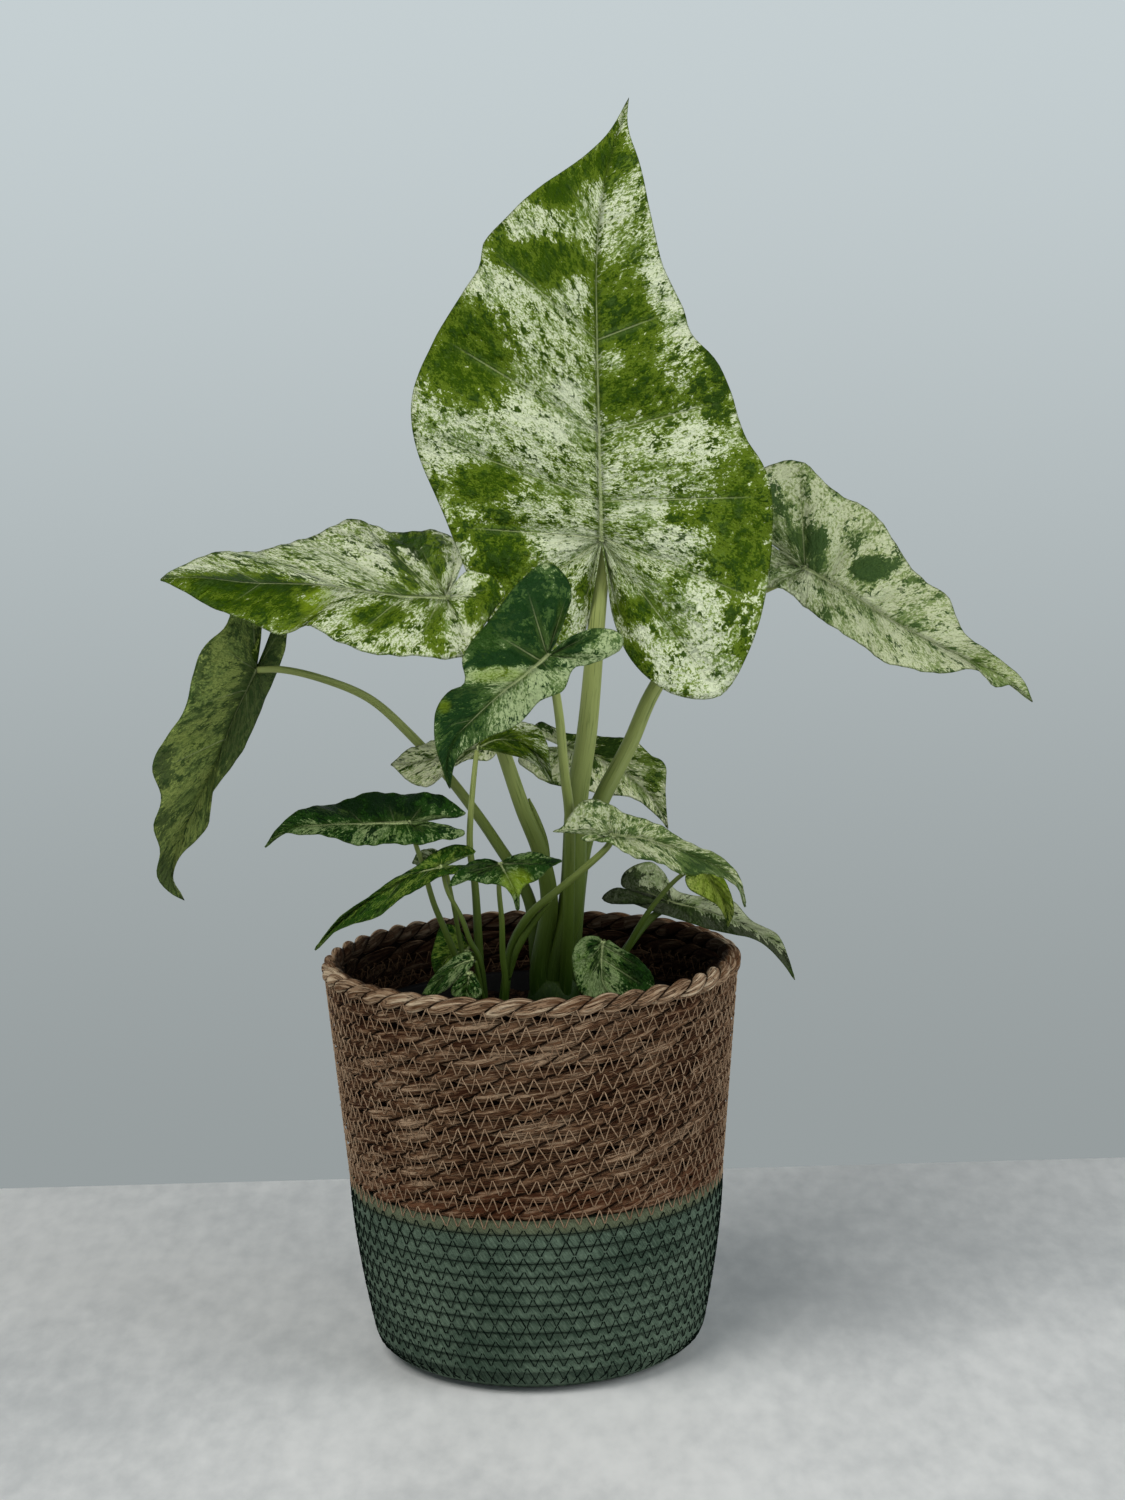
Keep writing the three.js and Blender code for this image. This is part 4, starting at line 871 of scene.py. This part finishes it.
def sheath(width, points):
    """A flap of skin beside a stalk: a tube with a flat section, pointed at both ends."""
    route = smooth_line(seen(numbers(points)), SHEATH_STEPS)
    share = np.linspace(0, 1, len(route))
    half = width / 2 * np.sin(np.pi * np.clip(share, 0.04, 0.96))[:, None] ** SHEATH_TAPER
    angle = full_turn(SHEATH_SIDES)
    thin = SHEATH_THICKNESS / 2
    section = half * thin / np.hypot(thin * np.cos(angle), half * np.sin(angle))
    points, faces, _ = tubes(route[None], section[None], SHEATH_SIDES, (0, 1, 0))
    return points, faces, {"tube_space": points[..., [0, 2, 1]], "share": 0.2}


STALK_BASE = (24, 52, 6)
STALK_MIDDLE = (88, 106, 40)
STALK_TOP = (158, 168, 98)
STALK_STREAK = (72, 94, 34)


def stalk_finish():
    finish = new_finish("stalk")
    stripes = finish.noise("tube_space", 1.1, 4, 0.6, stretch=(1.0, 1.0, 0.04))
    clouds = finish.noise("tube_space", 0.09, 3, stretch=(1.0, 1.0, 0.3))
    climb = finish.height() + clouds * 0.03
    base = finish.mix(climb.step(0.17, 0.25), STALK_BASE, STALK_MIDDLE)
    base = finish.mix((climb + finish.field("share") * 0.05).step(0.25, 0.37), base, STALK_TOP)
    base = finish.mix(stripes.step(0.02, 0.22) * 0.7, base, STALK_STREAK)
    return finish.paint(base, stripes, 0.35, 0.38 + stripes * 0.25, specular=0.15)


stalk_material = stalk_finish()
for name, foot, routes, flaps in (
    ("main", main_foot, main_routes, main_sheaths),
    ("front", front_foot, front_routes, front_sheaths),
    ("right", right_foot, right_routes, []),
):
    shapes = [foot_surface(foot), *(stalk(foot, *route) for route in routes),
              *(sheath(*flap) for flap in flaps)]
    make_piece(name + "_shoot_stalks", shapes, stalk_material, "stalk", name + "_stalks")

# %% [markdown]
# ## The rope basket
#
# The basket is one long rope laid in a coil and sewn to the row below. Rows are so even that
# each is made as its own ring. A twisted rope is a tube whose section has one lobe for each
# strand, and the section turns as it goes round the basket. The grid follows the strands, so
# that the groove between two strands is always a line of points.

# %% Basket dimensions
BASKET_HEIGHT = 203.0
GREEN_HEIGHT = 92.0
NATURAL_ROWS = 12
GREEN_ROWS = 11
RIM_ROPE = 9.6
RIM_RADIUS = 100.2
BASE_RADIUS = 60.0
BASE_CORNER_WIDTH = 20.5
BASE_CORNER_HEIGHT = 12.0
SHOULDER_RADIUS = 94.0
TOP_RADIUS = 103.0
WALL_CURVE = 1.6
SEAM_START = np.pi / 2
NATURAL_PITCH = (BASKET_HEIGHT - RIM_ROPE - GREEN_HEIGHT) / NATURAL_ROWS
GREEN_PITCH = (GREEN_HEIGHT - BASE_CORNER_HEIGHT) / GREEN_ROWS


def wall_radius(height):
    """Straight and widening above the shoulder, and rounded inwards below it."""
    share = (height - GREEN_HEIGHT) / (BASKET_HEIGHT - RIM_ROPE - GREEN_HEIGHT)
    above = SHOULDER_RADIUS + (TOP_RADIUS - SHOULDER_RADIUS) * share
    drop = np.clip((GREEN_HEIGHT - height) / GREEN_HEIGHT, 0, 1)
    foot = BASE_RADIUS + BASE_CORNER_WIDTH
    below = SHOULDER_RADIUS - (SHOULDER_RADIUS - foot) * drop**WALL_CURVE
    short = np.clip(1 - np.asarray(height) / BASE_CORNER_HEIGHT, 0, 1)
    tucked = BASE_CORNER_WIDTH * (1 - np.sqrt(1 - short**2))
    return np.where(np.asarray(height) >= GREEN_HEIGHT, above, below - tucked)


def around_axis(angle, radius, height):
    """Points from their angle round the basket, distance from its axis and height."""
    parts = np.broadcast_arrays(radius * np.cos(angle), radius * np.sin(angle), height)
    return np.stack(parts, -1)


# %% Rope surfaces
# How a rope's thickness, twist, distance and level wander, and what keeps its strands and rows
# apart in the space of the finish
SWELL_WAVES = (5, 9, 14, 19, 23)
TWIST_WANDER = 16
RADIUS_WANDER = 5
LEVEL_WANDER = 7.0
STRAND_OFFSET = 40
ROW_OFFSET = 7


def rope_ring(radius, height, half_out, half_up, twists, depth, steps, sides, seed,
              flatness, uneven, slant=0.0, plump=1.0):
    """A ring of rope: the section (cos w, sin w) shrinks by depth between the two strands, and
    w turns with the way round, so w = own angle + twists x way round + a slow wander."""
    rng = np.random.default_rng(seed)
    around = (SEAM_START + full_turn(steps))[:, None]
    own = np.pi / 2 + full_turn(sides)
    wandered = rng.uniform(0, 2 * np.pi) + TWIST_WANDER * uneven * wander(around, seed)
    turn = twists * around + np.sign(twists) * wandered
    w = own + turn
    strand = (own >= 1.5 * np.pi).astype(int)
    swell = np.hstack([1 + uneven * wander(around, seed + k, SWELL_WAVES) for k in (1, 2)])
    size = (1 - depth * (1 - np.abs(np.cos(own)) ** plump)) * swell[:, strand]
    out = np.sign(np.cos(w)) * np.abs(np.cos(w)) ** flatness * size * half_out
    up = np.sign(np.sin(w)) * np.abs(np.sin(w)) ** flatness * size * half_up
    out = radius + out + RADIUS_WANDER * uneven * wander(around, seed + 3)
    up = height + up + LEVEL_WANDER * uneven * wander(around, seed + 4)

    middle = np.where(strand == 1, 2 * np.pi, np.pi) + turn
    lap = np.floor((middle + np.pi) / (2 * np.pi)).astype(int)
    laps = max(twists, 1)
    tone = rng.uniform(0, 1, (2, laps))[strand, lap % laps]
    across = (0.25 * own + 0.75 * (w - 2 * np.pi * lap)) * half_up if twists else own * half_up
    fields = {
        "rope_space": around_axis(around + slant * across / radius, radius,
                                 across + tone * STRAND_OFFSET + seed * ROW_OFFSET),
        "crest": np.broadcast_to(np.abs(np.cos(own)), w.shape),
        "inward": -np.cos(w),
        "tone": tone,
    }
    return around_axis(around, out, up), [grid_faces(steps, sides, wrap_rows=True)], fields


# Where the five points of a stitch lie on its way, and how deep in the rope
STITCH_SHARES = np.array([0.0, 0.12, 0.5, 0.88, 1.0])
STITCH_DEPTHS = np.array([-1.6, 0.0, -0.15, 0.0, -1.6])
LOWEST_STITCH = 0.4
STITCH_SIDES = 4


def zigzag(height, reach, count, lift, seed, jitter, drift, inside=0.0):
    """Thread in stitches: each goes from one edge of the seam to the other, straight over the
    groove, and both its ends dive into the rope. Returns routes of five points each. With
    inside, the stitches lie that far within the outer face of the wall."""
    rng = np.random.default_rng(seed)
    corner = np.arange(2 * count + 1)
    around = SEAM_START + corner * np.pi / count + drift
    around[:-1] += rng.normal(0, jitter / wall_radius(height), 2 * count)
    around[-1] = around[0] + 2 * np.pi
    level = height + np.where(corner % 2 == 1, reach, -reach)
    level[:-1] += rng.normal(0, jitter, 2 * count)
    level[-1] = level[0]
    angle = around[:-1, None] + np.diff(around)[:, None] * STITCH_SHARES
    rise = np.maximum(level[:-1, None] + np.diff(level)[:, None] * STITCH_SHARES, LOWEST_STITCH)
    sunk = STITCH_DEPTHS * (-1 if inside else 1)
    return around_axis(angle, wall_radius(rise) + lift + sunk - inside, rise)


def sewn(name, seams, thickness, material, slot):
    """Makes one piece of all the stitches of several seams."""
    threads = tubes(np.concatenate(seams), thickness, STITCH_SIDES, (0, 0, 1))
    make_piece(name, [threads], material, slot)


# %% [markdown]
# ## Rope and thread finishes
#
# Grass rope is a bundle of flat blades: streaks run along each strand, and every lap of a strand
# has its own tone. Shade is painted into the slits between blades, into the grooves and on the side
# that faces into the basket. The paper cord of the green band is smooth, with fine creases, and
# shade is painted between its rows. Thread is a thin tube with a fuzz of its own; inside the basket
# it is a darker copy, as painted shade.

# %% The rope and thread materials
RED_GRASS = (116, 70, 46)
RED_FADE = 0.012
GREEN_TONES = [(66, 86, 70), (112, 132, 112)]
GREEN_GROOVE_SHADE = (16, 28, 20)
SHOULDER_CORD = (122, 120, 84)


def rope_finish(name, low, middle, high, painted_shade, fibre_scale, red_below=None):
    finish = new_finish(name)
    fibres = finish.noise("rope_space", fibre_scale, 5, 0.7, stretch=(0.09, 0.09, 1.0))
    strips = finish.noise("rope_space", fibre_scale, 2, 0.5, stretch=(0.04, 0.04, 0.5))
    patches = finish.noise("Object", 24.0)
    tone = finish.field("tone") * 0.45 + fibres * 2.4 + strips * 2.6 + patches * 1.2 + 0.25
    base = finish.mix(tone.step(0.0, 0.5), low, middle)
    base = finish.mix(tone.step(0.5, 1.1), base, high)
    if red_below:
        red = (finish.height() + patches * 0.02).step(red_below, red_below - RED_FADE)
        base = finish.mix(red * 0.4, base, RED_GRASS)
    # Painted shade: the slits between strips of grass, the grooves between strands and the side of each
    # rope that faces into the basket are mixed towards the shade colour
    slits = strips.size().step(0.022, 0.004)
    groove = (finish.field("crest") + fibres * 0.25).step(0.27, 0.07)
    for shade in (slits * 0.75, groove * 0.9, finish.field("inward").step(0.0, 0.5) * 0.85):
        base = finish.mix(shade, base, painted_shade)
    relief = fibres * 1.8 + strips * 2.0 - slits * 0.8
    return finish.paint(base, relief, 1.1, 0.78 + fibres * 0.3)


def thread_finish(name, main, worn):
    finish = new_finish(name)
    fuzz = finish.noise("Object", 900.0, 3, 0.6)
    patch = finish.noise("Object", 60.0, 2)
    base = finish.mix((fuzz * 1.5 + patch * 1.2 + 0.4).step(0.1, 0.9), main, worn)
    return finish.paint(base, fuzz, 0.25, 0.7)


def green_rope_finish():
    finish = new_finish("green_rope")
    creases = finish.noise("rope_space", 1.15, 4, 0.6, bend=0.6, stretch=(1.0, 1.0, 0.16))
    folds = finish.noise("rope_space", 1.0, stretch=(0.12, 0.12, 0.5))
    clouds = finish.noise("Object", 22.0)
    tone = creases * 2.0 + folds * 0.8 + clouds * 1.2 + finish.field("tone") * 0.2 + 0.35
    base = finish.mix(tone.step(0.0, 0.95), *GREEN_TONES)
    base = finish.mix(finish.height().step(0.083, 0.087) * 0.5, base, SHOULDER_CORD)
    # painted shade in the grooves between the rows of cord
    base = finish.mix(finish.field("crest").step(0.54, 0.38) * 0.7, base, GREEN_GROOVE_SHADE)
    return finish.paint(base, creases * 2.8 + folds * 0.8, 1.0, 0.65 + creases * 0.3, specular=0.12)


natural_material = rope_finish(
    "natural_rope", (64, 37, 22), (124, 92, 67), (188, 158, 128), (16, 4, 0), 1.5, red_below=0.112)
rim_material = rope_finish(
    "rim_rope", (108, 76, 52), (174, 142, 112), (228, 204, 172), (24, 8, 2), 1.2)
beige_thread = thread_finish("beige_thread", (140, 112, 88), (182, 156, 128))
shaded_thread = thread_finish("shaded_thread", (62, 46, 32), (92, 72, 52))
green_thread = thread_finish("green_thread", (2, 14, 8), (14, 30, 22))
green_material = green_rope_finish()
print("rope finishes ready")

# %% The coils
NATURAL_TWISTS = 14
RIM_TWISTS = 22
HALF_ROPE = 4.0
HALF_CORD = 3.6
HALF_RIM = 4.9
CORE_INSIDE = 5.0
CORE_OUTSIDE = 3.6
BASE_RINGS = 74
BASE_COIL = 7.0
# The cord rows that turn in under the base: radius, height, half width and half height
UNDER_ROWS = [(74.2, 8.2, 4.6, 4.4), (69.4, 5.2, 4.6, 3.9), (62.6, 3.9, 4.2, 3.6)]

shapes = []
for row in range(NATURAL_ROWS):
    height = GREEN_HEIGHT + (row + 0.5) * NATURAL_PITCH
    shapes.append(rope_ring(
        wall_radius(height) - HALF_ROPE - 0.1, height, HALF_ROPE, NATURAL_PITCH * 0.57,
        NATURAL_TWISTS, depth=0.48, steps=400, sides=20, seed=100 + 10 * row, flatness=0.85,
        uneven=0.1, plump=0.7))
low, high = GREEN_HEIGHT + 1, BASKET_HEIGHT - RIM_ROPE / 2 - 0.5
core = [(wall_radius(low) - CORE_INSIDE, low), (wall_radius(high) - CORE_INSIDE, high),
        (wall_radius(high) - CORE_OUTSIDE, high), (wall_radius(low) - CORE_OUTSIDE, low)]
points, faces = turned(core, 160)
# The core behind the rows is painted all in the shade colour: crest 0 and inward 1 darken it fully
shapes.append((points, faces, {"rope_space": points, "crest": 0.0, "inward": 1.0, "tone": 0.2}))
make_piece("natural_coils", shapes, natural_material, "natural_rope", "basket_natural_band")

rows = []
for row in range(GREEN_ROWS):
    height = BASE_CORNER_HEIGHT + (row + 0.5) * GREEN_PITCH
    rows.append((wall_radius(height) - HALF_CORD - 0.1, height, HALF_CORD, GREEN_PITCH * 0.515))
shapes = [rope_ring(*row, twists=0, depth=0.0, steps=300, sides=16, seed=300 + 10 * count,
                    flatness=0.55, uneven=0.012, slant=0.9)
          for count, row in enumerate([*rows, *UNDER_ROWS])]
base_rings = np.linspace(0, BASE_RADIUS, BASE_RINGS)
underside = 0.5 + 0.9 * np.abs(np.cos(np.pi * base_rings / BASE_COIL))
disc = [*zip(base_rings, underside), (BASE_RADIUS + 2, 4.0), (BASE_RADIUS, 7.4), (0, 7.8)]
points, faces = turned(disc, 120)
shapes.append((points, faces, {"rope_space": points, "crest": 1.0, "inward": 0.0, "tone": 0.5}))
make_piece("green_coils", shapes, green_material, "green_rope", "basket_green_band")

points, faces, fields = rope_ring(
    RIM_RADIUS, BASKET_HEIGHT - RIM_ROPE / 2, HALF_RIM, HALF_RIM, RIM_TWISTS, depth=0.5,
    steps=1000, sides=32, seed=470, flatness=0.9, uneven=0.05, plump=0.8)
points[..., 2] = np.minimum(points[..., 2], BASKET_HEIGHT + 1.5)
make_piece("rim_rope", [(points, faces, fields)], rim_material, "rim_rope", "basket_rim_rope")

# %% The sewing thread
THREAD = 0.3
NATURAL_STITCHES = 90
INNER_THREAD = 0.26
INNER_STITCHES = 8.2
INNER_ROWS = 4
GREEN_STITCHES = 73
HALF_STITCH = np.pi / GREEN_STITCHES
# Which seams of the green band start half a stitch later
SEAM_PHASES = [0, 0, 0, 0, 1, 1, 0, 0, 0, 1, 0]


def natural_seam(seam, seed, drift, **stitch):
    height = GREEN_HEIGHT + seam * NATURAL_PITCH
    return zigzag(height, count=NATURAL_STITCHES, seed=seed + seam, drift=drift * seam, **stitch)


outer = [natural_seam(seam, 600, 0.013, reach=4.0, lift=0.2, jitter=0.5)
         for seam in range(NATURAL_ROWS + 1)]
inner = [natural_seam(seam, 650, 0.02, reach=3.2, lift=-0.2, jitter=0.45, inside=INNER_STITCHES)
         for seam in range(NATURAL_ROWS - INNER_ROWS, NATURAL_ROWS)]
green = [zigzag(BASE_CORNER_HEIGHT + seam * GREEN_PITCH, reach=3.9, count=GREEN_STITCHES, lift=0.15,
                seed=700 + seam, jitter=0.3, drift=HALF_STITCH * (phase + 0.03 * seam))
         for seam, phase in enumerate(SEAM_PHASES)]
green.append(zigzag(5.6, reach=3.7, count=GREEN_STITCHES, lift=0.3, seed=720, jitter=0.4,
                    drift=HALF_STITCH))
sewn("natural_thread", outer, THREAD, beige_thread, "natural_rope")
sewn("inner_thread", inner, INNER_THREAD, shaded_thread, "natural_rope")
sewn("green_thread", green, THREAD, green_thread, "green_rope")

# %% [markdown]
# ## Loose fibres
#
# Grass rope is never clean: short ends of fibre stick out and curl. A few hundred thin bent
# tubes round the natural band, some of them thicker wisps, break its outline.

# %% Fibres
FIBRES = 330
WISPS = 60
WISP_RADIUS = 0.34
FIBRE_RADIUS = 0.13
FIBRE_TAPER = 1.15
FIBRE_SUNK = 0.8
FIBRE_SPREAD = 100
FIBRE_POINTS = 6


def loose_fibres():
    """Fibres that start in the rope, lift off along its way and sag or rise at their ends."""
    rng = np.random.default_rng(5)
    around, height, length, lift = (rng.uniform(low, high, (FIBRES, 1)) for low, high in (
        (0, 2 * np.pi), (GREEN_HEIGHT + 4, BASKET_HEIGHT - 4), (3.0, 9.0), (0.4, 2.2)))
    slope = rng.normal(0, 0.5, (FIBRES, 1))
    share = np.linspace(0, 1, FIBRE_POINTS)
    out = np.minimum(wall_radius(height) - FIBRE_SUNK + lift * share**1.5, TOP_RADIUS + 3)
    rise = np.minimum(height + slope * share**2 * length * 0.6, BASKET_HEIGHT)
    routes = around_axis(around + share * length / FIBRE_SPREAD, out, rise)
    thick = np.where(np.arange(FIBRES) < WISPS, WISP_RADIUS, FIBRE_RADIUS)[:, None, None]
    return tubes(routes, thick * (FIBRE_TAPER - share)[:, None], 3, (0, 0, 1))


make_piece("loose_fibres", [loose_fibres()], beige_thread, "natural_rope")

# %% [markdown]
# ## Soil and nursery pot
#
# The soil is a bumpy disc with loose crumbs and bits of bark. The pot is a thin turned shell
# with a rolled lip.

# %% Soil and pot surfaces
FLOOR_THICKNESS = 8.0
POT_HEIGHT = 166.0
POT_BASE_RADIUS = 58.0
POT_RIM_RADIUS = 83.0
POT_WALL = 1.6
POT_GAP = 0.3
LIP_HEIGHT = 9.0
LIP_OVERHANG = 3.0
LIP_ROLL = 1.6
SOIL_DEPTH = 134.0
SOIL_DROP = 1.5
SOIL_RINGS = 70
SOIL_SEGMENTS = 200
CRUMBS = 420
CRUMBS_REACH = 78
CRUMB_LIFT = 0.3
BUMP_SIZES = (40, 26, 17, 11, 7.5, 5, 3.5, 2.6)
BUMP_LIMITS = (-3, 2.4)
BOX_CORNERS = np.array([(x, y, z) for x in (-1, 1) for y in (-1, 1) for z in (-1, 1)], float)
BOX_FACES = np.array([(0, 1, 3, 2), (4, 6, 7, 5), (0, 4, 5, 1), (2, 3, 7, 6), (0, 2, 6, 4),
                      (1, 5, 7, 3)])


def pot_radius(height):
    return POT_BASE_RADIUS + (POT_RIM_RADIUS - POT_BASE_RADIUS) * (height - FLOOR_THICKNESS) / POT_HEIGHT


def bumps(x, y):
    """Soil height: waves in many directions, smaller as they get finer, seeded once."""
    rng = np.random.default_rng(11)
    total = np.zeros_like(x)
    for size in np.repeat(BUMP_SIZES, 3):
        way = rng.uniform(0, 2 * np.pi)
        phase = (x * np.cos(way) + y * np.sin(way)) * 2 * np.pi / size + rng.uniform(0, 6.28)
        total += size**0.8 * 0.028 * np.sin(phase)
    return np.clip(total, *BUMP_LIMITS)


def soil_shapes():
    """The bumpy disc, and then each crumb: a small box with uneven corners, turned any way."""
    low = SOIL_TOP - SOIL_DEPTH
    radii = np.linspace(0, pot_radius(SOIL_TOP) - POT_WALL - 1, SOIL_RINGS)
    profile = [(radius, SOIL_TOP - SOIL_DROP) for radius in radii]
    profile += [(pot_radius(low) - POT_WALL - 1, low), (0, low)]
    points, faces = turned(profile, SOIL_SEGMENTS)
    top = points[:, 2] > SOIL_TOP - 5
    points[top, 2] += bumps(points[top, 0], points[top, 1])
    yield points, faces, {"tone": 0.2}
    rng = np.random.default_rng(12)
    for _ in range(CRUMBS):
        far, way = CRUMBS_REACH * np.sqrt(rng.uniform()), rng.uniform(0, 2 * np.pi)
        x, y = far * np.cos(way), far * np.sin(way)
        level = SOIL_TOP - SOIL_DROP + bumps(np.array([x]), np.array([y]))[0] + CRUMB_LIFT
        size = rng.uniform(0.6, 2.1) * np.array([rng.uniform(0.8, 2.2), 1, rng.uniform(0.3, 0.8)])
        turn = np.linalg.qr(rng.normal(size=(3, 3)))[0]
        block = (BOX_CORNERS * size * rng.uniform(0.6, 1.2, (8, 3))) @ turn
        yield block + [x, y, level], [BOX_FACES], {"tone": rng.uniform(0, 1)}


def pot_shape():
    """The outer face up to the lip, the roll of its edge, and the inner face down again."""
    bottom = FLOOR_THICKNESS + POT_GAP
    inside = bottom + POT_WALL
    top = bottom + POT_HEIGHT
    below_lip = top - LIP_HEIGHT
    rim = pot_radius(top)
    roll = rim + LIP_OVERHANG - LIP_ROLL
    profile = [(0, bottom), (pot_radius(bottom), bottom), (pot_radius(below_lip), below_lip),
               (rim + LIP_OVERHANG, below_lip + 0.4)]
    for turn in np.linspace(0, np.pi, 9):
        profile.append((roll + LIP_ROLL * np.cos(turn), top - LIP_ROLL + LIP_ROLL * np.sin(turn)))
    profile += [(rim - POT_WALL, top - 2), (pot_radius(bottom) - POT_WALL, inside), (0, inside)]
    return (*turned(profile, 120), {})


def soil_finish():
    finish = new_finish("soil")
    grains = finish.noise("Object", 700.0, 5, 0.7)
    clods = finish.noise("Object", 140.0, 4, 0.65)
    tone = grains * 1.4 + clods * 1.2 + finish.field("tone") * 0.5 + 0.2
    base = finish.mix(tone.step(0.1, 0.9), (14, 10, 8), (66, 48, 34))
    return finish.paint(base, grains + clods * 2.0, 1.4, 0.85)


def plastic_finish():
    finish = new_finish("black_plastic")
    scuffs = finish.noise("Object", 90.0, 4, 0.7)
    dust = finish.noise("Object", 30.0, 4, 0.6)
    base = finish.mix((dust + 0.35).step(0.2, 0.9) * 0.6, (14, 14, 15), (40, 38, 34))
    return finish.paint(base, scuffs, 0.15, 0.4 + scuffs * 0.5, specular=0.06)


make_piece("soil_and_crumbs", soil_shapes(), soil_finish(), "soil", "soil")
make_piece("pot_shell", [pot_shape()], plastic_finish(), "black_plastic", "nursery_pot")

# %% [markdown]
# ## The table and the light
#
# The plant stands on a pale table top whose far edge is seen behind the basket. A large soft
# light stands at the front left, a weaker one at the right, and the pale surroundings do the
# rest. The table is stage only, not part of the object.

# %% The table top
TABLE_LOW = np.array([-620.0, -750.0, -20.0])
TABLE_HIGH = np.array([620.0, 300.0, 0.0])


def table_finish():
    finish = new_finish("table_top")
    clouds = finish.noise("Object", 3.0)
    grain = finish.noise("Object", 90.0, 4, stretch=(1.0, 0.4, 1.0))
    stain = (clouds * 1.3 + grain * 0.6 + 0.5).step(0.1, 0.9)
    base = finish.mix(stain, (206, 209, 209), (250, 251, 249))
    return finish.paint(base, grain, 0.05, 0.5 + clouds * 0.2, specular=0.4)


corners = np.where(BOX_CORNERS > 0, TABLE_HIGH, TABLE_LOW) * MM
mesh = bpy.data.meshes.new("table_top")
mesh.from_pydata(corners.tolist(), [], BOX_FACES.tolist())
mesh.materials.append(table_finish())
table_top = add_object("table_top", mesh)
print("table top from", TABLE_LOW, "to", TABLE_HIGH)


# %% The light
def area_light(name, place, aim, size, power, tint):
    data = bpy.data.lights.new(name, "AREA")
    data.shape = "RECTANGLE"
    data.size, data.size_y = size
    data.energy = power
    data.color = tint
    lamp = add_object(name, data)
    lamp.location = place
    lamp.rotation_euler = (Vector(aim) - Vector(place)).to_track_quat("-Z", "Y").to_euler()


def add_surroundings():
    """Pale round the plant, which makes the grey wall, and much darker above."""
    world = bpy.data.worlds.new("surroundings")
    finish = Finish(world)
    height = finish.height("Generated")
    sky = finish.mix(height.step(-0.3, 0.1), (150, 157, 158), (198, 208, 211))
    sky = finish.mix(height.step(0.15, 0.6), sky, (60, 64, 68))
    finish.put(world.node_tree.nodes["Background"].inputs["Color"], sky)
    bpy.context.scene.world = world


area_light("key", (-1.0, -1.2, 2.2), (0, 0, 0.35), (1.7, 1.5), 36, (1.0, 0.985, 0.96))
area_light("fill", (1.7, -0.9, 1.2), (0, 0, 0.3), (1.6, 1.6), 19, (0.97, 0.985, 1.0))
add_surroundings()
bpy.context.scene.view_settings.view_transform = "Standard"
print("two lights and the surroundings are set")
